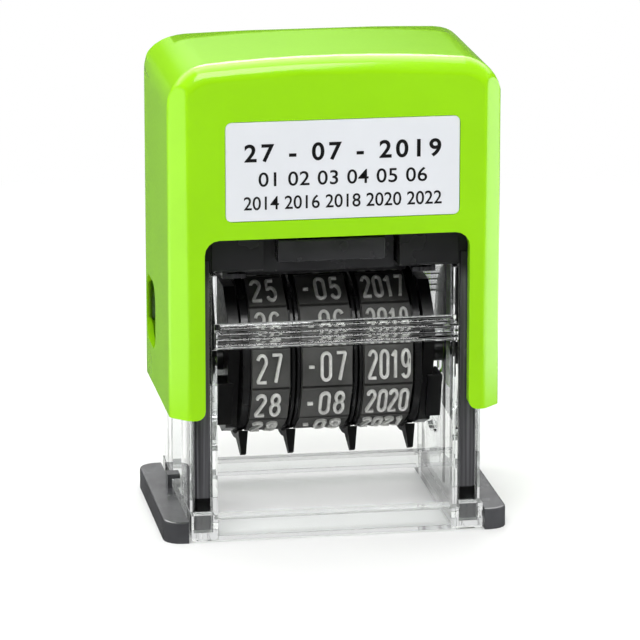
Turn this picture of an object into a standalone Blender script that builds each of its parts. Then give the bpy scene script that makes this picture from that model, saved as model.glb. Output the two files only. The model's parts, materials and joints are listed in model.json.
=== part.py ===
"""Self-inking date stamp: a cover that presses down, a clear frame, an ink pad and a carrier with three number dials.

The stamp stands on its two feet with its front towards -Y, +X to the right and +Z up. Pressing the cover moves the
dial carrier down while the cam grooves in the frame's walls turn it half a turn, from the ink pad to the paper.
"""

import math

import bmesh
import bpy
from mathutils import Matrix, Vector

# Every size below is a number of millimetres times this factor, which gives metres
MM = 0.001

# Clearances
RUN_GAP = 0.3 * MM
SEAT_GAP = 0.2 * MM
CUT_OVERRUN = 1.0 * MM

# Number plates and bands
FACE_COUNT = 12
FACE_RADIUS = 10.3 * MM
CHARACTER_RISE = 0.4 * MM
PLATE_RISE = 0.46 * MM
PLATE_MARGIN = 0.14 * MM
BAND_THICK = 0.5 * MM
DAY_WIDTH = 5.1 * MM
MONTH_WIDTH = 6.7 * MM
YEAR_WIDTH = 6.5 * MM

# Serrated wheels
RIM_WIDTH = 0.35 * MM
END_RIM_WIDTH = 0.9 * MM
RIM_RISE = 0.24 * MM
TOOTH_COUNT = 120
TOOTH_DEPTH = 0.26 * MM
AXLE_RADIUS = 1.0 * MM

# Dial carrier
AXIS_HEIGHT = 21.7 * MM
PAPER_GAP = 0.04 * MM
CARRIER_MARGIN = 0.24 * MM
CHEEK_THICK = 1.5 * MM
BOSS_RADIUS = 2.2 * MM
BOSS_RISE = 1.2 * MM
AXLE_SEAT_DEPTH = 1.2 * MM
TRUNNION_RADIUS = 1.1 * MM
PIN_RADIUS = 1.5 * MM
PIN_ORBIT = 4.0 * MM
STRAP_GAP = 0.4 * MM
STRAP_THICK = 0.6 * MM
STRAP_WIDTH = 1.3 * MM
FIN_REACH = 2.3 * MM
FIN_TIP_WIDTH = 0.65 * MM
FIN_ROOT_ANGLE = math.radians(74)
FIN_END_ANGLE = math.radians(60)
SPINE_UP = 1.4 * MM
SPINE_DOWN = 2.4 * MM

# Clear frame
FLIP_SPACE = 0.65 * MM
WEB_THICK = 1.2 * MM
GROOVE_DEPTH = 0.7 * MM
INNER_STRIP = 0.7 * MM
OUTER_STRIP = 0.4 * MM
BAR_CLEARANCE = 1.4 * MM
BASE_LIP = 0.1 * MM
MOULD_STEP = 0.05 * MM
RAIL_DEPTH = 3.0 * MM
FRAME_LIFT = 0.25 * MM
RAIL_HEIGHT = 2.8 * MM
REAR_RAIL_LIFT = 1.0 * MM
SIDE_BAR_HEIGHT = 3.4 * MM
BAR_RISE = 3.7 * MM
BAR_HEIGHT = 3.0 * MM
BAR_OVERLAP = 0.2 * MM
BAR_RIDGE = 0.25 * MM
BAR_RIDGES = 4
RIDGE_SLOPE_SHARE = 1 / 3
BAR_NOTCH = 0.6 * MM

# Chassis with posts and pad housing
POST_WIDTH = 2.2 * MM
POST_DEPTH = 2.4 * MM
POST_FLOOR = 1.0 * MM
POST_EDGE = 0.3 * MM
POST_LAP = 1.7 * MM
REAR_POST_RISE = 2.5 * MM
HOUSING_SETBACK = 0.5 * MM
PLATE_CHAMFER = 0.4 * MM
LEDGE_RISE = 0.35 * MM
LEDGE_THICK = 0.6 * MM
LEDGE_REACH = 0.8 * MM
LEDGE_HALF_DEPTH = 7.5 * MM
LEDGE_WALL_SPACE = 1.3 * MM
WELL_ROOF = 1.5 * MM
WELL_DEPTH = 4.8 * MM

# Ink pad and its holder
PAD_STANDOFF = 0.34 * MM
PAD_HALF_DEPTH = 5.0 * MM
FLANGE_THICK = 0.75 * MM
FLANGE_SPACE = 0.25 * MM
HOLDER_HALF_WIDTH = 8.5 * MM
HOLDER_TOP_RISE = 4.1 * MM
HOLDER_TAB_HEIGHT = 3.0 * MM
HOLDER_TAB_HALF = 6.9 * MM
HOLDER_SHIFT = -0.5 * MM
HOLDER_TAB_DEPTH = 2.6 * MM

# Return spring
SPRING_RADIUS = 3.4 * MM
WIRE_RADIUS = 0.35 * MM
SPRING_SPACE = 0.45 * MM
SPRING_CURLS = 7
POINTS_PER_CURL = 9

# Yoke inside the cover
LEG_THICK = 1.6 * MM
LEG_HALF_DEPTH = 4.0 * MM
LEG_SPACE = 0.4 * MM
BRIDGE_CLEARANCE = 0.5 * MM
BRIDGE_THICK = 1.7 * MM
CUP_RISE = 1.8 * MM
CUP_WALL = 1.4 * MM
CUP_ROOF = 1.2 * MM

# Cover
COVER_SIDE_GAP = 0.65 * MM
COVER_SIDE_WALL = 1.75 * MM
COVER_FRONT_GAP = 0.3 * MM
COVER_FRONT_WALL = 1.5 * MM
COVER_TOP_WALL = 1.8 * MM
COVER_CORNER_WALL = 0.95 * MM
COVER_CORNER = 5.5 * MM
COVER_ARCH = 1.2 * MM
COVER_CHAMFER = 2.3 * MM
COVER_FILLET = 1.1 * MM
COVER_FRONT_EDGE = 2.2 * MM
COVER_REAR_EDGE = 9.0 * MM
COVER_STOP_SPACE = 1.6 * MM
WINDOW_HALF_WIDTH = 17.05 * MM
WINDOW_CORNER = 1.9 * MM
WINDOW_CLEARANCE = 0.35 * MM
COVER_LEG_CORNER = 1.2 * MM
SLOT_RISE = 5.0 * MM
SLOT_HEIGHT = 9.0 * MM
SLOT_HALF_DEPTH = 4.4 * MM
SLOT_SHIFT = 6.2 * MM
SLOT_CORNER = 2.6 * MM
SLOT_SKIN = 0.8 * MM
SLOT_RELIEF = 1.0 * MM

# Label
LABEL_HALF_WIDTH = 14.85 * MM
LABEL_HEIGHT = 12.5 * MM
LABEL_RISE = 2.5 * MM
LABEL_SHIFT = 0.65 * MM
LABEL_CORNER = 0.7 * MM
LABEL_THICK = 0.4 * MM

# Feet
FOOT_WIDTH = 3.1 * MM
FOOT_HEIGHT = 2.8 * MM
FOOT_CORNER = 2.3 * MM
FOOT_EDGE = 0.35 * MM
CLIP_HALF_DEPTH = 1.0 * MM
CLIP_THICK = 0.6 * MM
CLIP_REACH = 1.0 * MM
CLIP_SHIFT = 3.0 * MM

# Sides of round pieces and steps of small arcs
ROUND_SIDES = 24
PIN_SIDES = 20
ARC_STEPS = 4
PATH_STEPS = 10
SMOOTH_ANGLE = math.radians(32)

# Points nearer than this are one point after a bevel
WELD_DISTANCE = 0.001 * MM

# How many times the meshes are enlarged while Booleans run on them
SOLVER_ENLARGEMENT = 1000

# Sizes worked out from the ones above, outwards along X from the dials
DIALS = (
    ("day", DAY_WIDTH, END_RIM_WIDTH, RIM_WIDTH),
    ("month", MONTH_WIDTH, RIM_WIDTH, RIM_WIDTH),
    ("year", YEAR_WIDTH, RIM_WIDTH, END_RIM_WIDTH),
)
DIAL_GAPS = (len(DIALS) - 1) * RUN_GAP
STACK_WIDTH = sum(band + left + right + 2 * SEAT_GAP for _, band, left, right in DIALS) + DIAL_GAPS
STACK_HALF = STACK_WIDTH / 2
CHEEK_IN = STACK_HALF + RUN_GAP
CHEEK_OUT = CHEEK_IN + CHEEK_THICK
BOSS_OUT = CHEEK_OUT + BOSS_RISE
WEB_IN = BOSS_OUT + FLIP_SPACE
WEB_OUT = WEB_IN + WEB_THICK
GROOVE_END = WEB_IN + GROOVE_DEPTH
LEG_IN = WEB_OUT + RUN_GAP
LEG_OUT = LEG_IN + LEG_THICK
POST_SLOT_IN = WEB_IN + INNER_STRIP
POST_IN = POST_SLOT_IN + SEAT_GAP
POST_OUT = POST_IN + POST_WIDTH
POST_SLOT_OUT = POST_OUT + SEAT_GAP
FRAME_HALF_WIDTH = POST_SLOT_OUT + OUTER_STRIP
COVER_IN = FRAME_HALF_WIDTH + COVER_SIDE_GAP
COVER_HALF_WIDTH = COVER_IN + COVER_SIDE_WALL
FOOT_IN = FRAME_HALF_WIDTH + RUN_GAP
FOOT_OUT = FOOT_IN + FOOT_WIDTH

# Radii about the shaft, and depths along Y
PLATE_ROOT_RADIUS = FACE_RADIUS - PLATE_RISE
BAND_BORE_RADIUS = PLATE_ROOT_RADIUS - BAND_THICK
DRUM_RADIUS = BAND_BORE_RADIUS - SEAT_GAP
RIM_RADIUS = FACE_RADIUS + RIM_RISE
PRINT_RADIUS = FACE_RADIUS + CHARACTER_RISE
CARRIER_RADIUS = PRINT_RADIUS + CARRIER_MARGIN
STRAP_IN_RADIUS = RIM_RADIUS + STRAP_GAP
STRAP_OUT_RADIUS = STRAP_IN_RADIUS + STRAP_THICK
FIN_TIP_RADIUS = STRAP_OUT_RADIUS + FIN_REACH
BODY_HALF_DEPTH = CARRIER_RADIUS + BAR_CLEARANCE
COVER_IN_DEPTH = BODY_HALF_DEPTH + COVER_FRONT_GAP
COVER_HALF_DEPTH = COVER_IN_DEPTH + COVER_FRONT_WALL
BASE_HALF_DEPTH = COVER_HALF_DEPTH + BASE_LIP
OPENING_HALF_DEPTH = BASE_HALF_DEPTH - RAIL_DEPTH
CHANNEL_HALF_DEPTH = LEG_HALF_DEPTH + LEG_SPACE
POST_BACK = BODY_HALF_DEPTH - POST_DEPTH
HOUSING_FRONT = BODY_HALF_DEPTH - HOUSING_SETBACK

# Heights along Z
PRESS_TRAVEL = AXIS_HEIGHT - PRINT_RADIUS - PAPER_GAP
RAIL_TOP = FRAME_LIFT + RAIL_HEIGHT
SIDE_BAR_TOP = FRAME_LIFT + SIDE_BAR_HEIGHT
BAR_LOW = AXIS_HEIGHT + BAR_RISE
BAR_TOP = BAR_LOW + BAR_HEIGHT
PAD_LOW = AXIS_HEIGHT + PRINT_RADIUS + PAD_STANDOFF
LEDGE_LOW = PAD_LOW + LEDGE_RISE
LEDGE_TOP = LEDGE_LOW + LEDGE_THICK
FLANGE_LOW = LEDGE_TOP + RUN_GAP
FLANGE_TOP = FLANGE_LOW + FLANGE_THICK
HOUSING_LOW = FLANGE_TOP + FLANGE_SPACE
HOLDER_TOP = HOUSING_LOW + HOLDER_TOP_RISE
POCKET_TOP = HOLDER_TOP + RUN_GAP
WELL_FLOOR = POCKET_TOP + WELL_ROOF
HOUSING_TOP = WELL_FLOOR + WELL_DEPTH
WEB_TOP = HOUSING_LOW - RUN_GAP
BRIDGE_LOW = HOUSING_TOP + PRESS_TRAVEL + BRIDGE_CLEARANCE
BRIDGE_TOP = BRIDGE_LOW + BRIDGE_THICK
CUP_TOP = BRIDGE_TOP + CUP_RISE
COVER_IN_TOP = CUP_TOP + RUN_GAP
COVER_TOP = COVER_IN_TOP + COVER_TOP_WALL
COVER_LOW = SIDE_BAR_TOP + PRESS_TRAVEL + COVER_STOP_SPACE
WINDOW_TOP = BAR_TOP + PRESS_TRAVEL + WINDOW_CLEARANCE
LABEL_LOW = WINDOW_TOP + LABEL_RISE
SLOT_LOW = COVER_LOW + SLOT_RISE

# Outlines as shares of the size that each follows
CHEEK_OUTLINE_SHARES = (
    (-0.45, 0.89),
    (0.45, 0.89),
    (0.82, 0.57),
    (1.0, 0.06),
    (1.0, -0.06),
    (0.82, -0.57),
    (0.42, -0.9),
    (-0.25, -0.93),
    (-0.58, -0.8),
    (-0.93, 0.32),
    (-0.8, 0.58),
)
CHEEK_RIB_SHARES = ((-0.66, -0.74), (-0.4, -0.74), (-0.4, -0.2), (-0.8, -0.2))


def clear_scene():
    """Removes every object that the scene starts with."""
    for obj in list(bpy.data.objects):
        bpy.data.objects.remove(obj, do_unlink=True)


def add_object(name, bm):
    """Turns the bmesh into an object of the scene."""
    bmesh.ops.recalc_face_normals(bm, faces=bm.faces[:])
    mesh = bpy.data.meshes.new(name)
    bm.to_mesh(mesh)
    bm.free()
    obj = bpy.data.objects.new(name, mesh)
    bpy.context.scene.collection.objects.link(obj)
    return obj


def placed(axis, along, first, second):
    """The point at `along` on the axis, with the outline's two coordinates in the other two directions."""
    if axis == "X":
        return (along, first, second)
    if axis == "Y":
        return (first, along, second)
    return (first, second, along)


def prism(name, axis, outline, start, end):
    """A solid with the given outline, extruded along the axis from start to end."""
    bm = bmesh.new()
    corners = [bm.verts.new(placed(axis, start, *point)) for point in outline]
    face = bm.faces.new(corners)
    grown = bmesh.ops.extrude_face_region(bm, geom=[face])
    moved = [item for item in grown["geom"] if isinstance(item, bmesh.types.BMVert)]
    bmesh.ops.translate(bm, verts=moved, vec=placed(axis, end - start, 0, 0))
    return add_object(name, bm)


def rectangle(low_first, high_first, low_second, high_second):
    return [
        (low_first, low_second),
        (high_first, low_second),
        (high_first, high_second),
        (low_first, high_second),
    ]


def box(name, x_range, y_range, z_range):
    """A block between two places on each axis."""
    outline = rectangle(*sorted(x_range), *sorted(y_range))
    return prism(name, "Z", outline, *sorted(z_range))


def circle(first, second, radius, sides=ROUND_SIDES):
    turn = 2 * math.pi / sides
    return [
        (first + radius * math.cos(i * turn), second + radius * math.sin(i * turn)) for i in range(sides)
    ]


def arc(first, second, radius, start, end, steps=ARC_STEPS):
    """Points on an arc about a centre, from one angle to another."""
    angles = [start + (end - start) * i / steps for i in range(steps + 1)]
    return [(first + radius * math.cos(a), second + radius * math.sin(a)) for a in angles]


def rounded(points, radius, corners=None, steps=ARC_STEPS):
    """The outline with a fillet at the listed corners, or at all of them."""
    outline = []
    for index, point in enumerate(points):
        if corners is not None and index not in corners:
            outline.append(point)
            continue
        here = Vector(point)
        before = (Vector(points[index - 1]) - here).normalized()
        after = (Vector(points[(index + 1) % len(points)]) - here).normalized()
        half = before.angle(after) / 2
        centre = here + (before + after).normalized() * (radius / math.sin(half))
        start = here + before * (radius / math.tan(half)) - centre
        end = here + after * (radius / math.tan(half)) - centre
        first_angle = math.atan2(start.y, start.x)
        turn = (math.atan2(end.y, end.x) - first_angle + math.pi) % (2 * math.pi) - math.pi
        outline.extend(arc(centre.x, centre.y, radius, first_angle, first_angle + turn, steps))
    return outline


def polygon_ring(radius, sides=FACE_COUNT):
    """A regular polygon whose flats lie at the radius, with one flat square to the first direction."""
    turn = 2 * math.pi / sides
    corner = radius / math.cos(turn / 2)
    return [(corner * math.cos((i + 0.5) * turn), corner * math.sin((i + 0.5) * turn)) for i in range(sides)]


def about_axle(outline):
    """The outline moved from the shaft's own centre to its height in the stamp."""
    return [(y, z + AXIS_HEIGHT) for y, z in outline]


def bake(obj):
    """Replaces the object's mesh by what its modifiers make of it."""
    graph = bpy.context.evaluated_depsgraph_get()
    graph.update()
    made = bpy.data.meshes.new_from_object(obj.evaluated_get(graph))
    old = obj.data
    obj.modifiers.clear()
    obj.data = made
    bpy.data.meshes.remove(old)


def combine(target, operation, *tools):
    """Joins the tools to the target, or cuts them out of it, at a size where the solver's tolerance is fine."""
    target.data.transform(Matrix.Scale(SOLVER_ENLARGEMENT, 4))
    for tool in tools:
        tool.data.transform(Matrix.Scale(SOLVER_ENLARGEMENT, 4))
        modifier = target.modifiers.new(operation.lower(), "BOOLEAN")
        modifier.operation = operation
        modifier.solver = "EXACT"
        modifier.object = tool
        bake(target)
        bpy.data.objects.remove(tool, do_unlink=True)
    target.data.transform(Matrix.Scale(1 / SOLVER_ENLARGEMENT, 4))
    return target


def join(target, *tools):
    return combine(target, "UNION", *tools)


def cut(target, *tools):
    return combine(target, "DIFFERENCE", *tools)


def bevel(obj, width, chosen, segments=2):
    """Rounds the edges that the test picks out."""
    bm = bmesh.new()
    bm.from_mesh(obj.data)
    edges = [edge for edge in bm.edges if chosen(edge)]
    bmesh.ops.bevel(bm, geom=edges, offset=width, segments=segments, profile=0.5, affect="EDGES")
    bmesh.ops.remove_doubles(bm, verts=bm.verts[:], dist=WELD_DISTANCE)
    bmesh.ops.recalc_face_normals(bm, faces=bm.faces[:])
    bm.to_mesh(obj.data)
    bm.free()
    return obj


def runs_along(edge, axis_index):
    """True where the edge lies along the axis of that index."""
    direction = (edge.verts[1].co - edge.verts[0].co).normalized()
    return abs(direction[axis_index]) > math.cos(SMOOTH_ANGLE / 2)


def material(name, colour, roughness, metallic=0.0, transmission=0.0):
    """A plain material that carries the piece's colour, roughness and metallic value."""
    made = bpy.data.materials.new(name)
    made.use_nodes = True
    shader = made.node_tree.nodes["Principled BSDF"]
    shader.inputs["Base Color"].default_value = (*colour, 1.0)
    shader.inputs["Roughness"].default_value = roughness
    shader.inputs["Metallic"].default_value = metallic
    shader.inputs["Transmission Weight"].default_value = transmission
    return made


def finish(obj, name, made, parent=None, smooth=True):
    """Names the piece, gives it its material and shading, and hangs it on its joint's empty."""
    obj.name = name
    obj.data.name = name
    obj.data.materials.clear()
    obj.data.materials.append(made)
    if smooth and obj.type == "MESH":
        obj.data.shade_smooth()
        obj.data.set_sharp_from_angle(angle=SMOOTH_ANGLE)
    if parent is not None:
        obj.parent = parent
        obj.matrix_parent_inverse = Matrix.Translation(-parent.location)
    return obj


def joint_empty(name, location):
    empty = bpy.data.objects.new(name, None)
    empty.location = location
    bpy.context.scene.collection.objects.link(empty)
    return empty


# Clear frame


def flip_path():
    """The flip pin's path in the wall, as the carrier turns half a turn over the press."""
    drop = PRESS_TRAVEL / math.pi
    turning_point = math.acos(-min(1.0, drop / PIN_ORBIT))
    turns = [turning_point * i / (PATH_STEPS + 1) for i in range(PATH_STEPS + 1)] + [math.pi]
    return [
        Vector((-PIN_ORBIT * math.cos(t), AXIS_HEIGHT - drop * t - PIN_ORBIT * math.sin(t))) for t in turns
    ]


def groove_outline():
    """The cam groove round the pin's path, as wide as the pin and its running gap."""
    path = flip_path()
    reach = PIN_RADIUS + RUN_GAP
    left = []
    right = []
    for index, point in enumerate(path):
        before = path[max(index - 1, 0)]
        after = path[min(index + 1, len(path) - 1)]
        along = (after - before).normalized()
        side = Vector((-along.y, along.x)) * reach
        left.append(tuple(point + side))
        right.append(tuple(point - side))
    start = path[1] - path[0]
    end = path[-1] - path[-2]
    start_angle = math.atan2(start.y, start.x)
    end_angle = math.atan2(end.y, end.x)
    quarter = math.pi / 2
    head = arc(*path[0], reach, start_angle - quarter, start_angle - 3 * quarter, ARC_STEPS * 2)[1:-1]
    tail = arc(*path[-1], reach, end_angle + quarter, end_angle - quarter, ARC_STEPS * 2)[1:-1]
    return left + tail + right[::-1] + head


def make_frame_wall(side):
    """One clear side wall with its two channelled columns."""
    half = [
        (WEB_IN, BODY_HALF_DEPTH),
        (POST_SLOT_IN, BODY_HALF_DEPTH),
        (POST_SLOT_IN, POST_BACK - SEAT_GAP),
        (POST_SLOT_OUT, POST_BACK - SEAT_GAP),
        (POST_SLOT_OUT, BODY_HALF_DEPTH),
        (FRAME_HALF_WIDTH - MOULD_STEP, BODY_HALF_DEPTH),
        (FRAME_HALF_WIDTH - MOULD_STEP, CHANNEL_HALF_DEPTH),
        (WEB_OUT, CHANNEL_HALF_DEPTH),
    ]
    outline = [(side * x, -y) for x, y in half] + [(side * x, y) for x, y in reversed(half)]
    return prism("wall", "Z", outline, RAIL_TOP - CUT_OVERRUN, WEB_TOP)


def cut_tracks(frame, side):
    """Cuts a wall's upright slot for the trunnion, right through, and its blind cam groove for the flip pin."""
    slot_half = TRUNNION_RADIUS + RUN_GAP
    slot = rectangle(
        -slot_half, slot_half, AXIS_HEIGHT - PRESS_TRAVEL - slot_half, AXIS_HEIGHT + slot_half
    )
    slot = rounded(slot, slot_half - SEAT_GAP)
    through = prism("slot", "X", slot, side * (WEB_IN - CUT_OVERRUN), side * (WEB_OUT + RUN_GAP))
    groove = prism("groove", "X", groove_outline(), side * (WEB_IN - CUT_OVERRUN), side * GROOVE_END)
    cut(frame, through, groove)


def make_cross_bar(side):
    """The ridged bar across the front or the rear, its top strip cut back at both ends."""
    inner = BODY_HALF_DEPTH - BAR_OVERLAP
    outer = COVER_HALF_DEPTH
    half = (WEB_IN + POST_SLOT_IN) / 2
    pitch = BAR_HEIGHT / BAR_RIDGES
    ridged = []
    for index in range(BAR_RIDGES):
        low = BAR_LOW + index * pitch
        ridged.append((side * (outer - BAR_RIDGE), low))
        ridged.append((side * outer, low + pitch * RIDGE_SLOPE_SHARE))
        ridged.append((side * outer, low + pitch * (1 - RIDGE_SLOPE_SHARE)))
    ridged.append((side * (outer - BAR_RIDGE), BAR_TOP))
    outline = [(side * inner, BAR_LOW)] + ridged + [(side * inner, BAR_TOP)]
    bar = prism("bar", "X", outline, -half, half)
    depths = (side * (BODY_HALF_DEPTH + BAR_OVERLAP), side * (outer + CUT_OVERRUN))
    heights = (BAR_TOP - pitch, BAR_TOP + CUT_OVERRUN)
    for end in (-1, 1):
        notch = box("notch", (end * (half - BAR_NOTCH), end * (half + CUT_OVERRUN)), depths, heights)
        cut(bar, notch)
    return bar


def make_clear_frame(made):
    """Base ring, raised side bars, both walls and both cross bars as one clear moulding."""
    depth = (-BASE_HALF_DEPTH, BASE_HALF_DEPTH)
    above = SIDE_BAR_TOP + CUT_OVERRUN
    frame = box("frame", (-FRAME_HALF_WIDTH, FRAME_HALF_WIDTH), depth, (FRAME_LIFT, SIDE_BAR_TOP))
    opening_half = WEB_IN - MOULD_STEP
    opening_depth = (-OPENING_HALF_DEPTH, OPENING_HALF_DEPTH)
    opening = box("opening", (-opening_half, opening_half), opening_depth, (FRAME_LIFT - CUT_OVERRUN, above))
    step_half = POST_SLOT_IN - MOULD_STEP
    reach = BASE_HALF_DEPTH + CUT_OVERRUN
    under = box(
        "under",
        (-opening_half, opening_half),
        (OPENING_HALF_DEPTH - CUT_OVERRUN, reach),
        (FRAME_LIFT - CUT_OVERRUN, FRAME_LIFT + REAR_RAIL_LIFT),
    )
    cut(frame, opening, box("step", (-step_half, step_half), (-reach, reach), (RAIL_TOP, above)), under)
    join(frame, make_frame_wall(-1), make_frame_wall(1))
    for side in (-1, 1):
        width = (side * (POST_SLOT_IN + MOULD_STEP), side * (POST_SLOT_OUT - MOULD_STEP))
        pocket_depth = (-BODY_HALF_DEPTH - SEAT_GAP, -POST_BACK + SEAT_GAP - MOULD_STEP)
        cut(frame, box("pocket", width, pocket_depth, (POST_FLOOR, above)))
        cut_tracks(frame, side)
    join(frame, make_cross_bar(-1), make_cross_bar(1))
    return finish(frame, "clear_frame", made)


# Feet


def is_outer_rim(edge):
    """True on a foot's top rim, apart from the side that lies against the base."""
    upper = min(vert.co.z for vert in edge.verts) > FOOT_HEIGHT / 2
    return upper and max(abs(vert.co.x) for vert in edge.verts) > FOOT_IN + SEAT_GAP


def make_foot(name, side, made):
    """A foot along one side of the base, with a clip that hooks over the side bar."""
    outline = rectangle(side * FOOT_IN, side * FOOT_OUT, -BASE_HALF_DEPTH, BASE_HALF_DEPTH)
    outer = [index for index, point in enumerate(outline) if abs(point[0]) > FOOT_IN + RUN_GAP]
    foot = prism("foot", "Z", rounded(outline, FOOT_CORNER, outer, ARC_STEPS + 1), 0, FOOT_HEIGHT)
    bevel(foot, FOOT_EDGE, is_outer_rim)
    clip_low = SIDE_BAR_TOP + RUN_GAP
    clip_in = FOOT_IN + MOULD_STEP
    clip_out = clip_in + CLIP_THICK
    clip_tip = FOOT_IN - CLIP_REACH
    outline = [
        (side * clip_in, FOOT_HEIGHT / 2),
        (side * clip_out, FOOT_HEIGHT / 2),
        (side * clip_out, clip_low + CLIP_THICK),
        (side * clip_tip, clip_low + CLIP_THICK),
        (side * clip_tip, clip_low),
        (side * clip_in, clip_low),
    ]
    join(foot, prism("clip", "Y", outline, CLIP_SHIFT - CLIP_HALF_DEPTH, CLIP_SHIFT + CLIP_HALF_DEPTH))
    return finish(foot, name, made)


# Chassis


def make_post(side, end):
    """A post in a column's channel, up into the housing: a front one stands in the base, a rear one is short."""
    width = sorted((side * POST_IN, side * POST_OUT))
    depth = sorted((end * POST_BACK, end * BODY_HALF_DEPTH))
    low = POST_FLOOR + RUN_GAP if end < 0 else COVER_LOW + REAR_POST_RISE
    post = prism("post", "Z", rectangle(*width, *depth), low, HOUSING_LOW + POST_LAP)
    return bevel(post, POST_EDGE, lambda edge: runs_along(edge, 2) and end * edge.verts[0].co.y > POST_BACK)


def make_front_plate(start, end):
    """A raised plate on the housing's front, chamfered along its lower edge."""
    outline = [
        (-HOUSING_FRONT + HOUSING_SETBACK, HOUSING_LOW),
        (-BODY_HALF_DEPTH + PLATE_CHAMFER, HOUSING_LOW),
        (-BODY_HALF_DEPTH, HOUSING_LOW + PLATE_CHAMFER),
        (-BODY_HALF_DEPTH, HOUSING_TOP),
        (-HOUSING_FRONT + HOUSING_SETBACK, HOUSING_TOP),
    ]
    return prism("plate", "X", outline, start, end)


def make_ledge(side):
    """An L-shaped ledge under the housing that holds one end of the pad holder."""
    start = STACK_HALF - LEDGE_REACH
    wall_in = CHEEK_IN + LEDGE_WALL_SPACE
    wall_out = wall_in + LEDGE_THICK
    outline = [
        (side * start, LEDGE_LOW),
        (side * wall_out, LEDGE_LOW),
        (side * wall_out, HOUSING_LOW + LEDGE_THICK),
        (side * wall_in, HOUSING_LOW + LEDGE_THICK),
        (side * wall_in, LEDGE_TOP),
        (side * start, LEDGE_TOP),
    ]
    return prism("ledge", "Y", outline, -LEDGE_HALF_DEPTH, LEDGE_HALF_DEPTH)


def make_inner_frame(made):
    """The dark chassis: pad housing, four posts, two ledges and the spring's well."""
    quarter = [
        (POST_OUT + MOULD_STEP, HOUSING_FRONT),
        (POST_OUT + MOULD_STEP, CHANNEL_HALF_DEPTH),
        (WEB_OUT, CHANNEL_HALF_DEPTH),
    ]
    right = [(x, -y) for x, y in quarter] + [(x, y) for x, y in reversed(quarter)]
    outline = right + [(-x, -y) for x, y in right]
    housing = prism("housing", "Z", outline, HOUSING_LOW, HOUSING_TOP)
    pocket_half = HOLDER_HALF_WIDTH + RUN_GAP
    left_end = HOLDER_SHIFT - pocket_half
    right_end = HOLDER_SHIFT + pocket_half
    plate_end = POST_IN - RUN_GAP
    join(housing, make_front_plate(-plate_end, left_end + RUN_GAP))
    join(housing, make_front_plate(right_end - RUN_GAP, plate_end))
    join(housing, make_ledge(-1), make_ledge(1))
    for side in (-1, 1):
        join(housing, make_post(side, -1), make_post(side, 1))
    pocket = box(
        "pocket",
        (left_end, right_end),
        (-BODY_HALF_DEPTH - CUT_OVERRUN, LEDGE_HALF_DEPTH + RUN_GAP),
        (HOUSING_LOW - CUT_OVERRUN, POCKET_TOP),
    )
    well_radius = SPRING_RADIUS + WIRE_RADIUS + SPRING_SPACE
    well = prism("well", "Z", circle(0, 0, well_radius), WELL_FLOOR, HOUSING_TOP + CUT_OVERRUN)
    cut(housing, pocket, well)
    return finish(housing, "inner_frame", made)


# Ink pad


def make_pad_cassette(made):
    """The pad holder: a flange on the ledges, a raised body in the housing and a tab at the front."""
    flange_half = CHEEK_IN + LEDGE_WALL_SPACE - RUN_GAP
    holder = box(
        "holder", (-flange_half, flange_half), (-LEDGE_HALF_DEPTH, LEDGE_HALF_DEPTH), (FLANGE_LOW, FLANGE_TOP)
    )
    tab_back = BODY_HALF_DEPTH - HOLDER_TAB_DEPTH
    body = box(
        "body",
        (HOLDER_SHIFT - HOLDER_HALF_WIDTH, HOLDER_SHIFT + HOLDER_HALF_WIDTH),
        (-tab_back, LEDGE_HALF_DEPTH),
        (FLANGE_LOW + FLANGE_THICK / 2, HOLDER_TOP),
    )
    tab_half = HOLDER_TAB_HALF
    tab = box(
        "tab",
        (HOLDER_SHIFT - tab_half, HOLDER_SHIFT + tab_half),
        (-BODY_HALF_DEPTH, -tab_back + RUN_GAP),
        (HOLDER_TOP - HOLDER_TAB_HEIGHT, HOLDER_TOP),
    )
    bevel(tab, FOOT_EDGE, lambda edge: runs_along(edge, 0) and edge.verts[0].co.y < -tab_back)
    join(holder, body, tab)
    return finish(holder, "pad_cassette", made)


def make_ink_pad(made):
    half = STACK_HALF - LEDGE_REACH - RUN_GAP
    pad = box("pad", (-half, half), (-PAD_HALF_DEPTH, PAD_HALF_DEPTH), (PAD_LOW, FLANGE_LOW - RUN_GAP))
    return finish(pad, "ink_pad", made, smooth=False)


# Return spring


def least_gap(points):
    """The least free space between windings, measured between points more than half a curl apart."""
    apart = POINTS_PER_CURL // 2 + 1
    found = min(
        (points[i] - points[j]).length for i in range(len(points)) for j in range(i + apart, len(points))
    )
    return found - 2 * WIRE_RADIUS


def make_return_spring(made):
    """One wire from the well's floor to the yoke's cup, its ends straight for one wire diameter."""
    low = WELL_FLOOR + RUN_GAP
    high = CUP_TOP - CUP_ROOF - RUN_GAP
    tail = 2 * WIRE_RADIUS
    count = SPRING_CURLS * POINTS_PER_CURL
    turn = 2 * math.pi / POINTS_PER_CURL
    rise = (high - low - 2 * tail) / count
    points = [Vector((SPRING_RADIUS, 0, low))]
    for index in range(count + 1):
        x = SPRING_RADIUS * math.cos(index * turn)
        y = SPRING_RADIUS * math.sin(index * turn)
        points.append(Vector((x, y, low + tail + index * rise)))
    points.append(Vector((SPRING_RADIUS, 0, high)))
    print(f"return_spring: least gap between windings {least_gap(points) / MM:.2f} mm")
    curve = bpy.data.curves.new("return_spring", "CURVE")
    curve.dimensions = "3D"
    curve.bevel_depth = WIRE_RADIUS
    curve.bevel_resolution = 1
    curve.use_fill_caps = True
    spline = curve.splines.new("POLY")
    spline.points.add(len(points) - 1)
    for target, point in zip(spline.points, points):
        target.co = (*point, 1.0)
    spring = bpy.data.objects.new("return_spring", curve)
    bpy.context.scene.collection.objects.link(spring)
    return finish(spring, "return_spring", made)


# Cover


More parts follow.
